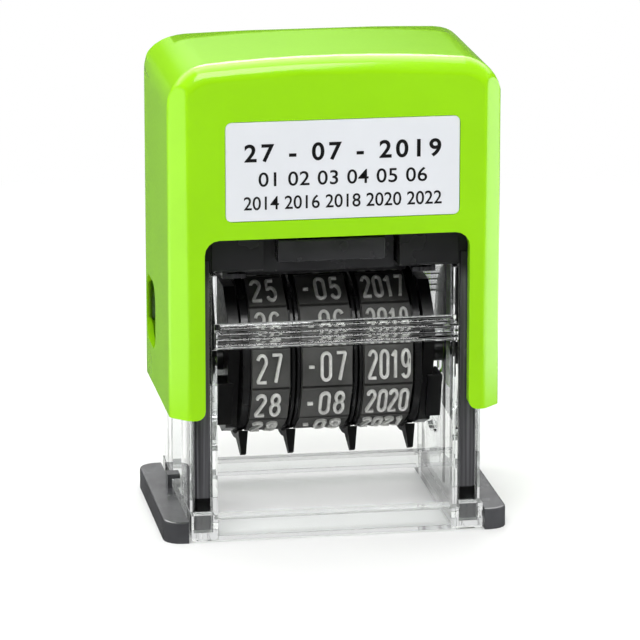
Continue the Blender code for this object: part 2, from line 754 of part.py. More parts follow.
def front_outline(half_width, low, top):
    """The cover seen from the front: upright sides, round top corners and a slightly arched top."""
    inset = COVER_HALF_WIDTH - half_width
    corner = COVER_CORNER - inset
    reach = half_width - corner
    lean = math.atan(2 * COVER_ARCH * reach / half_width**2)
    touch = reach + corner * math.sin(lean)
    centre = top - COVER_ARCH * (touch / half_width) ** 2 - corner * math.cos(lean)
    steps = ARC_STEPS + 4
    right = arc(reach, centre, corner, 0, math.pi / 2 - lean, steps)
    crown = []
    for index in range(1, steps):
        x = touch * (1 - 2 * index / steps)
        crown.append((x, top - COVER_ARCH * (x / half_width) ** 2))
    left = [(-x, z) for x, z in reversed(right)]
    return [(half_width, low)] + right + crown + left + [(-half_width, low)]


def cover_solid(name, half_width, half_depth, low, top, chamfer, fillet):
    """Where the front, plan and side outlines of the cover meet, for its outside or its hollow."""
    inset = COVER_HALF_WIDTH - half_width
    plan = rectangle(-half_width, half_width, -half_depth, half_depth)
    cut_plan = []
    for index, (x, y) in enumerate(plan):
        before = plan[index - 1]
        after = plan[(index + 1) % len(plan)]
        for near in (before, after):
            step = (Vector(near) - Vector((x, y))).normalized() * chamfer
            cut_plan.append((x + step.x, y + step.y))
    plan = rounded(cut_plan, fillet, steps=2)
    side = rectangle(-half_depth, half_depth, low, top)
    profile = rounded(side, COVER_REAR_EDGE - inset, [2], ARC_STEPS + 4)
    profile = rounded(profile, max(COVER_FRONT_EDGE - inset, SEAT_GAP), [len(profile) - 1], ARC_STEPS)
    solid = prism(name, "Y", front_outline(half_width, low, top), -half_depth, half_depth)
    upright = prism("upright", "Z", plan, low - CUT_OVERRUN, top + CUT_OVERRUN)
    across = prism("across", "X", profile, -half_width - CUT_OVERRUN, half_width + CUT_OVERRUN)
    return combine(solid, "INTERSECT", upright, across)


def window_outline():
    """The front opening: round top corners, and legs that round off at their lower ends."""
    low = COVER_LOW
    radius = COVER_LEG_CORNER
    half = WINDOW_HALF_WIDTH
    leg = arc(half + radius, low + radius, radius, -math.pi / 2, -math.pi)
    top = arc(half - WINDOW_CORNER, WINDOW_TOP - WINDOW_CORNER, WINDOW_CORNER, 0, math.pi / 2)
    right = [(half + radius, low - CUT_OVERRUN)] + leg + top
    return right + [(-x, z) for x, z in reversed(right)]


def slot_outline(margin):
    """The opening in each side, larger all round by the margin."""
    outline = rectangle(
        SLOT_SHIFT - SLOT_HALF_DEPTH - margin,
        SLOT_SHIFT + SLOT_HALF_DEPTH + margin,
        SLOT_LOW - margin,
        SLOT_LOW + SLOT_HEIGHT + margin,
    )
    return rounded(outline, SLOT_CORNER + margin)


def make_cover_shell(made):
    """The cover: a hollow moulding with a window in front and behind and a thin-walled slot in each side."""
    outside = (COVER_HALF_WIDTH, COVER_HALF_DEPTH, COVER_LOW, COVER_TOP)
    shell = cover_solid("shell", *outside, COVER_CHAMFER, COVER_FILLET)
    square_corner_wall = COVER_SIDE_WALL + COVER_FRONT_WALL - COVER_CHAMFER
    chamfer = COVER_CORNER_WALL * math.sqrt(2) - square_corner_wall
    inside = (COVER_IN, COVER_IN_DEPTH, COVER_LOW - CUT_OVERRUN, COVER_IN_TOP)
    hollow = cover_solid("hollow", *inside, chamfer, chamfer)
    reach = COVER_HALF_DEPTH + CUT_OVERRUN
    window = prism("window", "Y", window_outline(), -reach, reach)
    across = COVER_HALF_WIDTH + CUT_OVERRUN
    relief_end = COVER_HALF_WIDTH - SLOT_SKIN
    slots = prism("slots", "X", slot_outline(0), -across, across)
    relief = prism("relief", "X", slot_outline(SLOT_RELIEF), -relief_end, relief_end)
    recess = label_block("recess", SEAT_GAP, COVER_HALF_DEPTH - LABEL_THICK - SEAT_GAP, reach)
    cut(shell, hollow, window, slots, relief, recess)
    return finish(shell, "cover_shell", made)


def label_block(name, margin, back, front):
    """The label's rounded block on the front, larger all round by the margin."""
    outline = rectangle(
        LABEL_SHIFT - LABEL_HALF_WIDTH - margin,
        LABEL_SHIFT + LABEL_HALF_WIDTH + margin,
        LABEL_LOW - margin,
        LABEL_LOW + LABEL_HEIGHT + margin,
    )
    return prism(name, "Y", rounded(outline, LABEL_CORNER + margin), -front, -back)


def make_label(made):
    label = label_block("label", 0, COVER_HALF_DEPTH - LABEL_THICK, COVER_HALF_DEPTH)
    return finish(label, "label", made)


def make_drive_yoke(made):
    """The bridge under the cover's top, with the spring's cup and two legs that carry the trunnions."""
    leg_low = AXIS_HEIGHT - LEG_HALF_DEPTH
    right = [
        (LEG_IN, BRIDGE_LOW),
        (LEG_IN, leg_low - CUT_OVERRUN),
        (LEG_OUT, leg_low - CUT_OVERRUN),
        (LEG_OUT, BRIDGE_TOP),
    ]
    outline = right + [(-x, z) for x, z in reversed(right)]
    reach = LEG_HALF_DEPTH + CUT_OVERRUN
    yoke = prism("yoke", "Y", outline, -reach, reach)
    profile = rectangle(-LEG_HALF_DEPTH, LEG_HALF_DEPTH, leg_low, BRIDGE_TOP + CUT_OVERRUN)
    profile = rounded(profile, LEG_HALF_DEPTH - RUN_GAP, [0, 1], ARC_STEPS + 1)
    across = LEG_OUT + CUT_OVERRUN
    combine(yoke, "INTERSECT", prism("profile", "X", profile, -across, across))
    cup_radius = SPRING_RADIUS + WIRE_RADIUS + SPRING_SPACE
    join(yoke, prism("boss", "Z", circle(0, 0, cup_radius + CUP_WALL), BRIDGE_LOW - MOULD_STEP, CUP_TOP))
    bore = about_axle(circle(0, 0, TRUNNION_RADIUS + RUN_GAP))
    cup = prism("cup", "Z", circle(0, 0, cup_radius, PIN_SIDES), BRIDGE_LOW - CUT_OVERRUN, CUP_TOP - CUP_ROOF)
    cut(yoke, prism("bore", "X", bore, -across, across), cup)
    return finish(yoke, "drive_yoke", made)


# Dial carrier


def make_cheek(name, side, made, parent):
    """A side plate of the carrier with its trunnion, its flip pin and the seat of the wheel shaft."""
    outline = about_axle([(y * CARRIER_RADIUS, z * CARRIER_RADIUS) for y, z in CHEEK_OUTLINE_SHARES])
    cheek = prism("cheek", "X", outline, side * CHEEK_IN, side * CHEEK_OUT)
    inside = side * (CHEEK_OUT - CHEEK_THICK / 2)
    rib = about_axle([(y * CARRIER_RADIUS, z * CARRIER_RADIUS) for y, z in CHEEK_RIB_SHARES])
    boss = about_axle(circle(0, 0, BOSS_RADIUS))
    trunnion = about_axle(circle(0, 0, TRUNNION_RADIUS, PIN_SIDES))
    pin = about_axle(circle(-PIN_ORBIT, 0, PIN_RADIUS, PIN_SIDES))
    join(
        cheek,
        prism("rib", "X", rib, inside, side * BOSS_OUT),
        prism("boss", "X", boss, side * (CHEEK_OUT - SEAT_GAP), side * BOSS_OUT),
        prism("trunnion", "X", trunnion, side * (BOSS_OUT - SEAT_GAP), side * (LEG_OUT - SEAT_GAP)),
        prism("pin", "X", pin, side * (CHEEK_OUT - RUN_GAP), side * (GROOVE_END - RUN_GAP)),
    )
    seat = about_axle(circle(0, 0, AXLE_RADIUS + SEAT_GAP))
    seat_end = CHEEK_IN + AXLE_SEAT_DEPTH
    cut(cheek, prism("seat", "X", seat, side * (CHEEK_IN - CUT_OVERRUN), side * seat_end))
    return finish(cheek, name, made, parent)


def strap_outline():
    """A divider seen from the side: an arc under the dials that ends in a pointed fin."""
    rear = math.pi - SPINE_UP / STRAP_OUT_RADIUS
    fin_start = 2 * math.pi - FIN_ROOT_ANGLE
    fin_end = 2 * math.pi - FIN_END_ANGLE
    steps = ARC_STEPS * 3

    def on_circle(radius, angle):
        return (-radius * math.cos(angle), radius * math.sin(angle))

    outer = [on_circle(STRAP_OUT_RADIUS, rear + (fin_start - rear) * i / steps) for i in range(steps + 1)]
    third = (fin_end - fin_start) / 3
    tip = [on_circle(FIN_TIP_RADIUS, fin_start + third), on_circle(FIN_TIP_RADIUS, fin_start + 2 * third)]
    inner = [on_circle(STRAP_IN_RADIUS, fin_end + (rear - fin_end) * i / steps) for i in range(steps + 1)]
    return about_axle(outer + tip + inner)


def strap_centres():
    """Where the dividers stand: over the end rims and over the gaps between dials."""
    centres = [-STACK_HALF + STRAP_WIDTH / 2, STACK_HALF - STRAP_WIDTH / 2]
    place = -STACK_HALF
    for _, band, left, right in DIALS[:-1]:
        place += left + band + right + 2 * SEAT_GAP
        centres.append(place + RUN_GAP / 2)
        place += RUN_GAP
    return centres


def make_divider_comb(made, parent):
    """The spine behind the dials with four dividers, each narrowed at its tip."""
    spine = box(
        "spine",
        (-STACK_HALF, STACK_HALF),
        (STRAP_IN_RADIUS, STRAP_OUT_RADIUS),
        (AXIS_HEIGHT - SPINE_DOWN, AXIS_HEIGHT + SPINE_UP),
    )
    narrow_from = (STRAP_OUT_RADIUS + FIN_TIP_RADIUS) / 2
    for centre in strap_centres():
        strap = prism("strap", "X", strap_outline(), centre - STRAP_WIDTH / 2, centre + STRAP_WIDTH / 2)
        for vert in strap.data.vertices:
            if math.hypot(vert.co.y, vert.co.z - AXIS_HEIGHT) > narrow_from:
                vert.co.x = centre + (vert.co.x - centre) * FIN_TIP_WIDTH / STRAP_WIDTH
        join(spine, strap)
    return finish(spine, "divider_comb", made, parent)


def make_wheel_axle(made, parent):
    reach = CHEEK_IN + AXLE_SEAT_DEPTH - RUN_GAP
    axle = prism("axle", "X", about_axle(circle(0, 0, AXLE_RADIUS)), -reach, reach)
    return finish(axle, "wheel_axle", made, parent)


# Dials


def rim_outline():
    """A rim's edge with one tooth after another."""
    turn = math.pi / TOOTH_COUNT
    outline = []
    for index in range(2 * TOOTH_COUNT):
        radius = RIM_RADIUS - TOOTH_DEPTH * (index % 2)
        outline.append((radius * math.cos(index * turn), radius * math.sin(index * turn)))
    return about_axle(outline)


def make_wheel(name, start, band, left, right, made, parent):
    """A twelve-sided drum between two serrated rims, bored for the shaft."""
    end = start + left + band + right + 2 * SEAT_GAP
    middle = (start + end) / 2
    drum = prism("drum", "X", about_axle(polygon_ring(DRUM_RADIUS)), start + left / 2, end - right / 2)
    join(
        drum,
        prism("left_rim", "X", rim_outline(), start, start + left),
        prism("right_rim", "X", rim_outline(), end - right, end),
    )
    bore = about_axle(circle(0, 0, AXLE_RADIUS + RUN_GAP))
    reach = STACK_HALF + CUT_OVERRUN
    cut(drum, prism("bore", "X", bore, middle - reach, middle + reach))
    return finish(drum, name, made, parent)


def make_band(name, start, width, made, parent):
    """A rubber band of twelve raised number plates round its wheel."""
    root = about_axle(polygon_ring(PLATE_ROOT_RADIUS))
    band = prism("band", "X", root, start, start + width)
    bm = bmesh.new()
    bm.from_mesh(band.data)
    bm.normal_update()
    flats = [face for face in bm.faces if len(face.verts) == 4]
    bmesh.ops.inset_individual(bm, faces=flats, thickness=PLATE_MARGIN, depth=0)
    grown = bmesh.ops.extrude_discrete_faces(bm, faces=flats)["faces"]
    for face in grown:
        bmesh.ops.translate(bm, verts=face.verts[:], vec=face.normal * PLATE_RISE)
    bm.to_mesh(band.data)
    bm.free()
    bore = about_axle(polygon_ring(BAND_BORE_RADIUS))
    cut(band, prism("bore", "X", bore, start - CUT_OVERRUN, start + width + CUT_OVERRUN))
    return finish(band, name, made, parent)


def make_dials(wheel_material, band_material):
    """The three dials from left to right, each on its own empty on the shaft."""
    place = -STACK_HALF
    for name, band, left, right in DIALS:
        dial = joint_empty(f"{name}_dial", (place + left + band / 2, 0, AXIS_HEIGHT))
        make_wheel(f"{name}_wheel", place, band, left, right, wheel_material, dial)
        make_band(f"{name}_band", place + left + SEAT_GAP, band, band_material, dial)
        place += left + band + right + 2 * SEAT_GAP + RUN_GAP


def main():
    clear_scene()
    lime = material("lime_plastic", (0.34, 0.75, 0.02), 0.18)
    clear = material("clear_plastic", (0.93, 0.95, 0.93), 0.05, transmission=1.0)
    dark = material("dark_plastic", (0.03, 0.03, 0.032), 0.35)
    black = material("black_plastic", (0.012, 0.012, 0.012), 0.4)
    grey = material("foot_plastic", (0.06, 0.06, 0.065), 0.4)
    rubber = material("band_rubber", (0.13, 0.13, 0.125), 0.6)
    white = material("label_plate", (0.86, 0.87, 0.89), 0.3)
    steel = material("steel", (0.6, 0.6, 0.62), 0.3, metallic=1.0)
    felt = material("ink_felt", (0.015, 0.015, 0.018), 0.95)

    make_clear_frame(clear)
    make_foot("foot_left", -1, grey)
    make_foot("foot_right", 1, grey)
    make_inner_frame(dark)
    make_pad_cassette(dark)
    make_ink_pad(felt)
    make_return_spring(steel)

    cover = joint_empty("cover_press", (0, 0, COVER_LOW))
    for made in (make_cover_shell(lime), make_label(white), make_drive_yoke(dark)):
        made.parent = cover
        made.matrix_parent_inverse = Matrix.Translation(-cover.location)

    carrier = joint_empty("carrier_flip", (0, 0, AXIS_HEIGHT))
    make_cheek("cheek_left", -1, black, carrier)
    make_cheek("cheek_right", 1, black, carrier)
    make_divider_comb(black, carrier)
    make_wheel_axle(steel, carrier)
    make_dials(black, rubber)


if __name__ == "__main__":
    main()
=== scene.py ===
"""Looks, raised numbers and studio of the self-inking date stamp, laid out as an add-on.

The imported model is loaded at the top. Each operator finishes one piece, or a group of like pieces, and the last
one sets up the floor, the lamps and the camera.
"""

import json
import math

import bpy
from mathutils import Matrix, Vector

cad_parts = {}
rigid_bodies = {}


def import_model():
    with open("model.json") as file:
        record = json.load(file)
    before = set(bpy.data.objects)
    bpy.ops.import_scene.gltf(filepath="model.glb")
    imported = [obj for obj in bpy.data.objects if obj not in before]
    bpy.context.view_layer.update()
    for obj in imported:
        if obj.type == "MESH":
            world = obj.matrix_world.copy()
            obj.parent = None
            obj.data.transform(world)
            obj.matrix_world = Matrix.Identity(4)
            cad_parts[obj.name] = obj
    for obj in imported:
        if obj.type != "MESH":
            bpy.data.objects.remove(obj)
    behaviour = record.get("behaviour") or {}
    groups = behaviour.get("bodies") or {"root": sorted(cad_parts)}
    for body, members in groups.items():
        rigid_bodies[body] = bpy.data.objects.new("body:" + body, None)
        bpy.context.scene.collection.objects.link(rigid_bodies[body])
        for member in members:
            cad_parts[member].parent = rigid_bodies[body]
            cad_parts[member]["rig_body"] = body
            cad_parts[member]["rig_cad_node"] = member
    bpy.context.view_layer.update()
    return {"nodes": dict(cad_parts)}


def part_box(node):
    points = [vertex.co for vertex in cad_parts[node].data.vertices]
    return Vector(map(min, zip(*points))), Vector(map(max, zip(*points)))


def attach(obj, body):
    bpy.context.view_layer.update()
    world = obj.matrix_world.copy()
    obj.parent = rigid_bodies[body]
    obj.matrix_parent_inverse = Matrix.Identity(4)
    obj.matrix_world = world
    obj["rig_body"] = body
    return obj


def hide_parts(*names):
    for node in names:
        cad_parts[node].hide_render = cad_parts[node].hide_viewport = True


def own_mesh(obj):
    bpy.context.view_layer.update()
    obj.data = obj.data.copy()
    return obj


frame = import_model()

bl_info = {
    "name": "Date stamp finish",
    "version": (1, 0, 0),
    "blender": (4, 5, 0),
    "location": "View3D > Sidebar > Date stamp",
    "description": "Gives the date stamp its plastics, raised numbers and studio",
    "category": "Object",
}

MM = 0.001

# Joining points, and joining faces that differ by few degrees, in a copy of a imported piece
JOIN_DISTANCE = 0.002 * MM
FLAT_ANGLE = 0.6
FACE_WEIGHT = 80

# Cover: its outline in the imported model, its rounded front rim, and cuts that steady the shading
COVER_CORNER = 5.5 * MM
COVER_ARCH = 1.2 * MM
RIM_RADIUS = 2.4 * MM
RIM_CLEARANCE = 0.02 * MM
RIM_STEPS = 8
RIM_PAST_REAR = 3 * MM
CUTS_FROM_FRONT = (2.8 * MM, 3.6 * MM)
CUTS_FROM_REAR = (9.4 * MM, 10.2 * MM)
CUTS_FROM_TOP = (7.6 * MM, 8.4 * MM)

# Hollow behind each side slot, from its outer to its inner corner on the right
HOLLOW_OUTER = (20.7 * MM, 3 * MM, 23 * MM)
HOLLOW_INNER = (19.3 * MM, 12.5 * MM, 29.2 * MM)

# Label: how much wider it is made in its recess, and its print
LABEL_SPREAD = 0.3 * MM
TEXT_DEPTH = 0.002
INK_DEPTH = 0.01 * MM
INK_PROUD = 0.008 * MM
# Each row's words, height of its foot, letter height, width, added weight and letter spacing
LABEL_ROWS = (
    ("27 - 07 - 2019", 7.45 * MM, 2.35 * MM, 25.2 * MM, 0.022, 1.3),
    ("01 02 03 04 05 06", 4.3 * MM, 1.85 * MM, 21.6 * MM, 0.008, 1.05),
    ("2014 2016 2018 2020 2022", 1.3 * MM, 1.75 * MM, 25.4 * MM, 0.008, 1.0),
)

# Front posts: two fine grooves in each, a black band near the foot, and painted light that makes them paler below
# the housing
GROOVES_ACROSS = (18.0 * MM, 18.75 * MM)
GROOVE_WIDTH = 0.2 * MM
GROOVE_DEPTH = 0.2 * MM
GROOVE_START = 1.6 * MM
GROOVE_TOP = 33 * MM
DARK_BAND_LOW = (3.5 * MM, 3.7 * MM)
DARK_BAND_TOP = (5.3 * MM, 5.5 * MM)
PAINTED_LIGHT_TOP = (33 * MM, 35 * MM)

# Feet: the slits beside the clips, across and along the foot, and how deep they go
SLIT_ACROSS = (19.75 * MM, 20.15 * MM)
SLITS_ALONG = ((5.0 * MM, 11.0 * MM), (-9.0 * MM, 1.0 * MM))
SLIT_DEPTH = 0.9 * MM

# How far a cutting block stands out of the piece
CUT_OVER = 1 * MM

# Ink pad: its rounded edges, and the voxel that its felt is remeshed with
PAD_EDGE = 0.28 * MM
PAD_VOXEL = 0.2 * MM

# Return spring: points on each curl, and the pitch of its closed ends in half widths of the wire
CURL_POINTS = 28
CLOSED_PITCH = 2.1

# Raised numbers: half widths, and each character's place across its band
WIDE_HALF = 0.55 * MM
NARROW_HALF = 0.45 * MM
DAY_PLACES = (-1.22 * MM, 0.68 * MM)
MONTH_PLACES = (-2.08 * MM, -0.18 * MM, 1.73 * MM)
YEAR_PLACES = (-2.12 * MM, -0.61 * MM, 0.78 * MM, 2.2 * MM)
PLATES = 12
NUMBER_SUNK = 0.15 * MM
# A number's side from the plate up, in shares of half its stroke and of its rise
NUMBER_SIDE = ((1, 0.62), (0.84, 0.88), (0.5, 1))

# Clear plastic
PLASTIC_IOR = 1.49

# Studio, in metres and watts
FLOOR_SIZE = 6.0
FLOOR_TONES = ((0.85, 0.85, 0.85), (0.87, 0.87, 0.87))
SOFT_LIGHT = 0.13
LAMPS_AIM = (0, 0, 0.03)
SENSOR_WIDTH = 36
# Each lamp's name, place, size, power and whether mirrors see it
LAMPS = (
    ("lamp_key", (-0.08, -0.34, 0.62), 0.4, 3.42, True),
    ("lamp_right", (0.62, -0.12, 0.22), 0.3, 1.8, False),
    ("lamp_left", (-0.62, 0.08, 0.22), 0.3, 2.3, False),
    ("lamp_top", (0.0, 0.12, 0.7), 0.5, 1.9, True),
    ("lamp_back", (0.03, 0.5, 0.45), 0.3, 1.2, True),
)


class StampColours(bpy.types.PropertyGroup):
    """Colours of the stamp's plastics, rubber and steel."""

    cover: bpy.props.FloatVectorProperty(
        name="Cover",
        description="Colour of the glossy cover",
        subtype="COLOR",
        size=3,
        default=(0.33, 0.755, 0.006),
    )
    label: bpy.props.FloatVectorProperty(
        name="Label",
        description="Colour of the plate on the cover's front",
        subtype="COLOR",
        size=3,
        default=(0.8, 0.825, 0.86),
    )
    clear: bpy.props.FloatVectorProperty(
        name="Clear frame",
        description="Tint of the clear moulding",
        subtype="COLOR",
        size=3,
        default=(0.9, 0.915, 0.91),
    )
    chassis: bpy.props.FloatVectorProperty(
        name="Chassis",
        description="Colour of the posts and of the pad's housing",
        subtype="COLOR",
        size=3,
        default=(0.02, 0.02, 0.0215),
    )
    carrier: bpy.props.FloatVectorProperty(
        name="Carrier",
        description="Colour of the carrier's side plates, dividers and wheels",
        subtype="COLOR",
        size=3,
        default=(0.005, 0.005, 0.0052),
    )
    feet: bpy.props.FloatVectorProperty(
        name="Feet",
        description="Colour of the two feet",
        subtype="COLOR",
        size=3,
        default=(0.068, 0.069, 0.074),
    )
    bands: bpy.props.FloatVectorProperty(
        name="Bands",
        description="Colour of the rubber bands",
        subtype="COLOR",
        size=3,
        default=(0.075, 0.075, 0.072),
    )
    numbers: bpy.props.FloatVectorProperty(
        name="Numbers",
        description="Colour of the worn tops of the raised numbers",
        subtype="COLOR",
        size=3,
        default=(0.66, 0.66, 0.64),
    )
    steel: bpy.props.FloatVectorProperty(
        name="Steel",
        description="Colour of the spring and of the wheels' shaft",
        subtype="COLOR",
        size=3,
        default=(0.6, 0.6, 0.62),
    )
    print: bpy.props.FloatVectorProperty(
        name="Print",
        description="Colour of the numbers printed on the label",
        subtype="COLOR",
        size=3,
        default=(0.003, 0.003, 0.0035),
    )
    felt: bpy.props.FloatVectorProperty(
        name="Ink pad",
        description="Colour of the inked felt",
        subtype="COLOR",
        size=3,
        default=(0.012, 0.012, 0.014),
    )


class StampSizes(bpy.types.PropertyGroup):
    """Sizes of what this add-on models itself."""

    number_height: bpy.props.FloatProperty(
        name="Number height",
        description="Height of a raised number on the bands",
        unit="LENGTH",
        default=4.0 * MM,
    )
    number_stroke: bpy.props.FloatProperty(
        name="Number stroke",
        description="Width of a raised number's strokes",
        unit="LENGTH",
        default=0.4 * MM,
    )
    number_rise: bpy.props.FloatProperty(
        name="Number rise",
        description="How far a number stands above its plate",
        unit="LENGTH",
        default=0.38 * MM,
    )
    wire: bpy.props.FloatProperty(
        name="Spring wire",
        description="Thickness of the return spring's wire",
        unit="LENGTH",
        default=0.7 * MM,
    )
    curls: bpy.props.IntProperty(
        name="Spring curls",
        description="Free curls of the return spring",
        default=6,
    )
    first_day: bpy.props.IntProperty(
        name="Day",
        description="Day on the front plate",
        default=27,
    )
    first_month: bpy.props.IntProperty(
        name="Month",
        description="Month on the front plate",
        default=7,
    )
    first_year: bpy.props.IntProperty(
        name="Year",
        description="Year on the front plate",
        default=2019,
    )


class StampStudio(bpy.types.PropertyGroup):
    """Where the camera stands and how strong the lamps are."""

    azimuth: bpy.props.FloatProperty(
        name="Azimuth",
        description="Camera's angle round the stamp, below zero to its left",
        subtype="ANGLE",
        default=math.radians(-9.27),
    )
    elevation: bpy.props.FloatProperty(
        name="Elevation",
        description="Camera's angle above the floor",
        subtype="ANGLE",
        default=math.radians(14.4),
    )
    distance: bpy.props.FloatProperty(
        name="Distance",
        description="Camera's distance from the point it looks at",
        unit="LENGTH",
        default=600 * MM,
    )
    aim_height: bpy.props.FloatProperty(
        name="Aim height",
        description="Height of the point that the camera looks at",
        unit="LENGTH",
        default=25.2 * MM,
    )
    lens: bpy.props.FloatProperty(
        name="Lens",
        description="Focal length on a 36 mm sensor, in millimetres",
        default=258.7,
    )
    lamps: bpy.props.FloatProperty(
        name="Lamps",
        description="Strength of all lamps, 1 as set up",
        default=1.0,
    )


def colours():
    """The colours as they are set in the scene."""
    return bpy.context.scene.stamp_colours


def sizes():
    """The sizes as they are set in the scene."""
    return bpy.context.scene.stamp_sizes


def studio():
    """The camera's and the lamps' values as they are set in the scene."""
    return bpy.context.scene.stamp_studio


# Materials


class Nodes:
    """Adds and links the nodes of one material or of the world."""

    def __init__(self, tree):
        self.tree = tree

    def add(self, kind, **settings):
        """A new node of a kind, with its settings."""
        node = self.tree.nodes.new(kind)
        for name, value in settings.items():
            setattr(node, name, value)
        return node

    def link(self, start, end):
        self.tree.links.new(start, end)

    def feed(self, value, socket):
        """Links another node's output to a socket, or sets the socket to a value."""
        if isinstance(value, bpy.types.NodeSocket):
            self.link(value, socket)
        else:
            socket.default_value = value

    def remap(self, value, low, high, start=0.35, end=0.65):
        """Runs from low to high while the value goes from start to end, by default where noise mostly lies."""
        node = self.add("ShaderNodeMapRange")
        node.inputs["From Min"].default_value = start
        node.inputs["From Max"].default_value = end
        node.inputs["To Min"].default_value = low
        node.inputs["To Max"].default_value = high
        self.link(value, node.inputs["Value"])
        return node.outputs["Result"]

    def maths(self, operation, *values):
        """A Math node on outputs of other nodes."""
        node = self.add("ShaderNodeMath", operation=operation)
        for index, value in enumerate(values):
            self.link(value, node.inputs[index])
        return node.outputs[0]

    def axes(self, place):
        """The outputs X, Y and Z of a place or a direction."""
        node = self.add("ShaderNodeSeparateXYZ")
        self.link(place, node.inputs[0])
        return node.outputs

    def mixed(self, factor, shader, other):
        """The first shader where the factor is 0, and the other where it is 1."""
        node = self.add("ShaderNodeMixShader")
        self.link(factor, node.inputs[0])
        self.link(shader, node.inputs[1])
        self.link(other, node.inputs[2])
        return node.outputs[0]

    def clear_rays(self, path):
        """1 for rays that went through clear plastic, or that its polished faces mirrored."""
        return self.maths("MAXIMUM", path["Is Transmission Ray"], path["Is Singular Ray"])


class Maker(Nodes):
    """Builds one procedural material round its Principled shader."""

    def __init__(self, name, colour, roughness, **values):
        self.material = bpy.data.materials.new(name)
        self.material.use_nodes = True
        super().__init__(self.material.node_tree)
        self.shader = self.tree.nodes["Principled BSDF"]
        self.place = self.add("ShaderNodeTexCoord").outputs["Object"]
        for key, value in dict(values, base_color=(*colour, 1), roughness=roughness).items():
            socket = key.replace("_", " ").title().replace("Ior", "IOR")
            self.shader.inputs[socket].default_value = value

    def noise(self, scale, detail=3.0, stretch=(1, 1, 1)):
        """Noise with features of about 1/scale metres, drawn out along an axis where stretch is small."""
        mapping = self.add("ShaderNodeMapping")
        mapping.inputs["Scale"].default_value = stretch
        self.link(self.place, mapping.inputs["Vector"])
        node = self.add("ShaderNodeTexNoise")
        node.inputs["Scale"].default_value = scale
        node.inputs["Detail"].default_value = detail
        self.link(mapping.outputs["Vector"], node.inputs["Vector"])
        return node.outputs["Fac"]

    def tint(self, factor, colour, other):
        """A colour between the two, which can be values or another node's output."""
        node = self.add("ShaderNodeMix", data_type="RGBA")
        self.link(factor, node.inputs["Factor"])
        for index, value in ((6, colour), (7, other)):
            self.feed(value if isinstance(value, bpy.types.NodeSocket) else (*value[:3], 1), node.inputs[index])
        return node.outputs[2]

    def patches(self, base, scale, low, high, detail=3.0, stretch=(1, 1, 1)):
        """The base colour in soft patches between two shares of it."""
        factor = self.remap(self.noise(scale, detail, stretch), 0, 1)
        return self.tint(factor, shade(base, low), shade(base, high))

    def colour(self, value):
        """Links a colour to the shader."""
        self.link(value, self.shader.inputs["Base Color"])

    def rough(self, scale, low, high, detail=3.0, stretch=(1, 1, 1)):
        """Patches of roughness between two values."""
        self.link(self.remap(self.noise(scale, detail, stretch), low, high), self.shader.inputs["Roughness"])

    def bump(self, scale, distance, strength, detail=2.0, stretch=(1, 1, 1)):
        """A fine relief of noise, as high as the distance."""
        node = self.add("ShaderNodeBump")
        node.inputs["Strength"].default_value = strength
        node.inputs["Distance"].default_value = distance
        self.link(self.noise(scale, detail, stretch), node.inputs["Height"])
        self.link(node.outputs["Normal"], self.shader.inputs["Normal"])

    def glow(self, strength):
        """White light of a strength, which is a value or another node's output."""
        node = self.add("ShaderNodeEmission")
        self.feed(strength, node.inputs["Strength"])
        return node.outputs[0]

    def surface(self, shader):
        """Puts another shader on the surface in place of the Principled one."""
        self.link(shader, self.tree.nodes["Material Output"].inputs["Surface"])


def shade(colour, share):
    """The colour made darker or lighter by a share."""
    return tuple(min(1.0, channel * share) for channel in colour)


def glossy_cover():
    """Polished lime plastic with a faint unevenness in its gloss."""
    base = colours().cover
    made = Maker("glossy_cover", base, 0.13)
    made.colour(made.patches(base, scale=55, low=0.97, high=1.03))
    made.rough(scale=2200, low=0.1, high=0.17, detail=4)
    made.bump(scale=500, distance=0.006 * MM, strength=0.2, detail=1)
    return made.material


def moulded(name, base, low, high, grain, depth):
    """Plastic or rubber with a fine moulded grain, a roughness from low to high and a slightly uneven tone."""
    made = Maker(name, base, (low + high) / 2)
    made.colour(made.patches(base, scale=140, low=0.8, high=1.25))
    made.rough(grain / 3, low, high)
    made.bump(grain, depth, strength=0.5)
    return made.material


def posts_with_painted_light():
    """Chassis plastic with painted light on the posts: paler in vertical streaks below the housing, down to a
    black band near the foot.
    """
    base = colours().chassis
    made = Maker("chassis_plastic", base, 0.3)
    tone = made.patches(base, scale=140, low=0.9, high=1.15)
    # Painted light: below the housing the posts are made two to five times paler, in fine vertical streaks
    worn = made.patches(base, scale=2600, low=2.1, high=5.2, detail=2, stretch=(1, 1, 0.015))
    height = made.axes(made.place)["Z"]
    # A black band near the foot of the posts
    over = made.remap(height, 0, 1, *DARK_BAND_LOW)
    under = made.remap(height, 1, 0, *DARK_BAND_TOP)
    posts = made.tint(made.maths("MULTIPLY", over, under), worn, shade(base, 0.2))
    # Above the housing's foot the plain tone takes over from the painted light
    made.colour(made.tint(made.remap(height, 0, 1, *PAINTED_LIGHT_TOP), posts, tone))
    made.rough(scale=140, low=0.24, high=0.28)
    made.bump(scale=400, distance=0.0005 * MM, strength=0.1, detail=1)
    return made.material


def satin_plate():
    """White printed plate, almost even."""
    base = colours().label
    made = Maker("satin_plate", base, 0.35)
    made.colour(made.patches(base, scale=90, low=0.985, high=1.015))
    made.rough(scale=1800, low=0.3, high=0.42)
    made.bump(scale=3500, distance=0.003 * MM, strength=0.3)
    return made.material


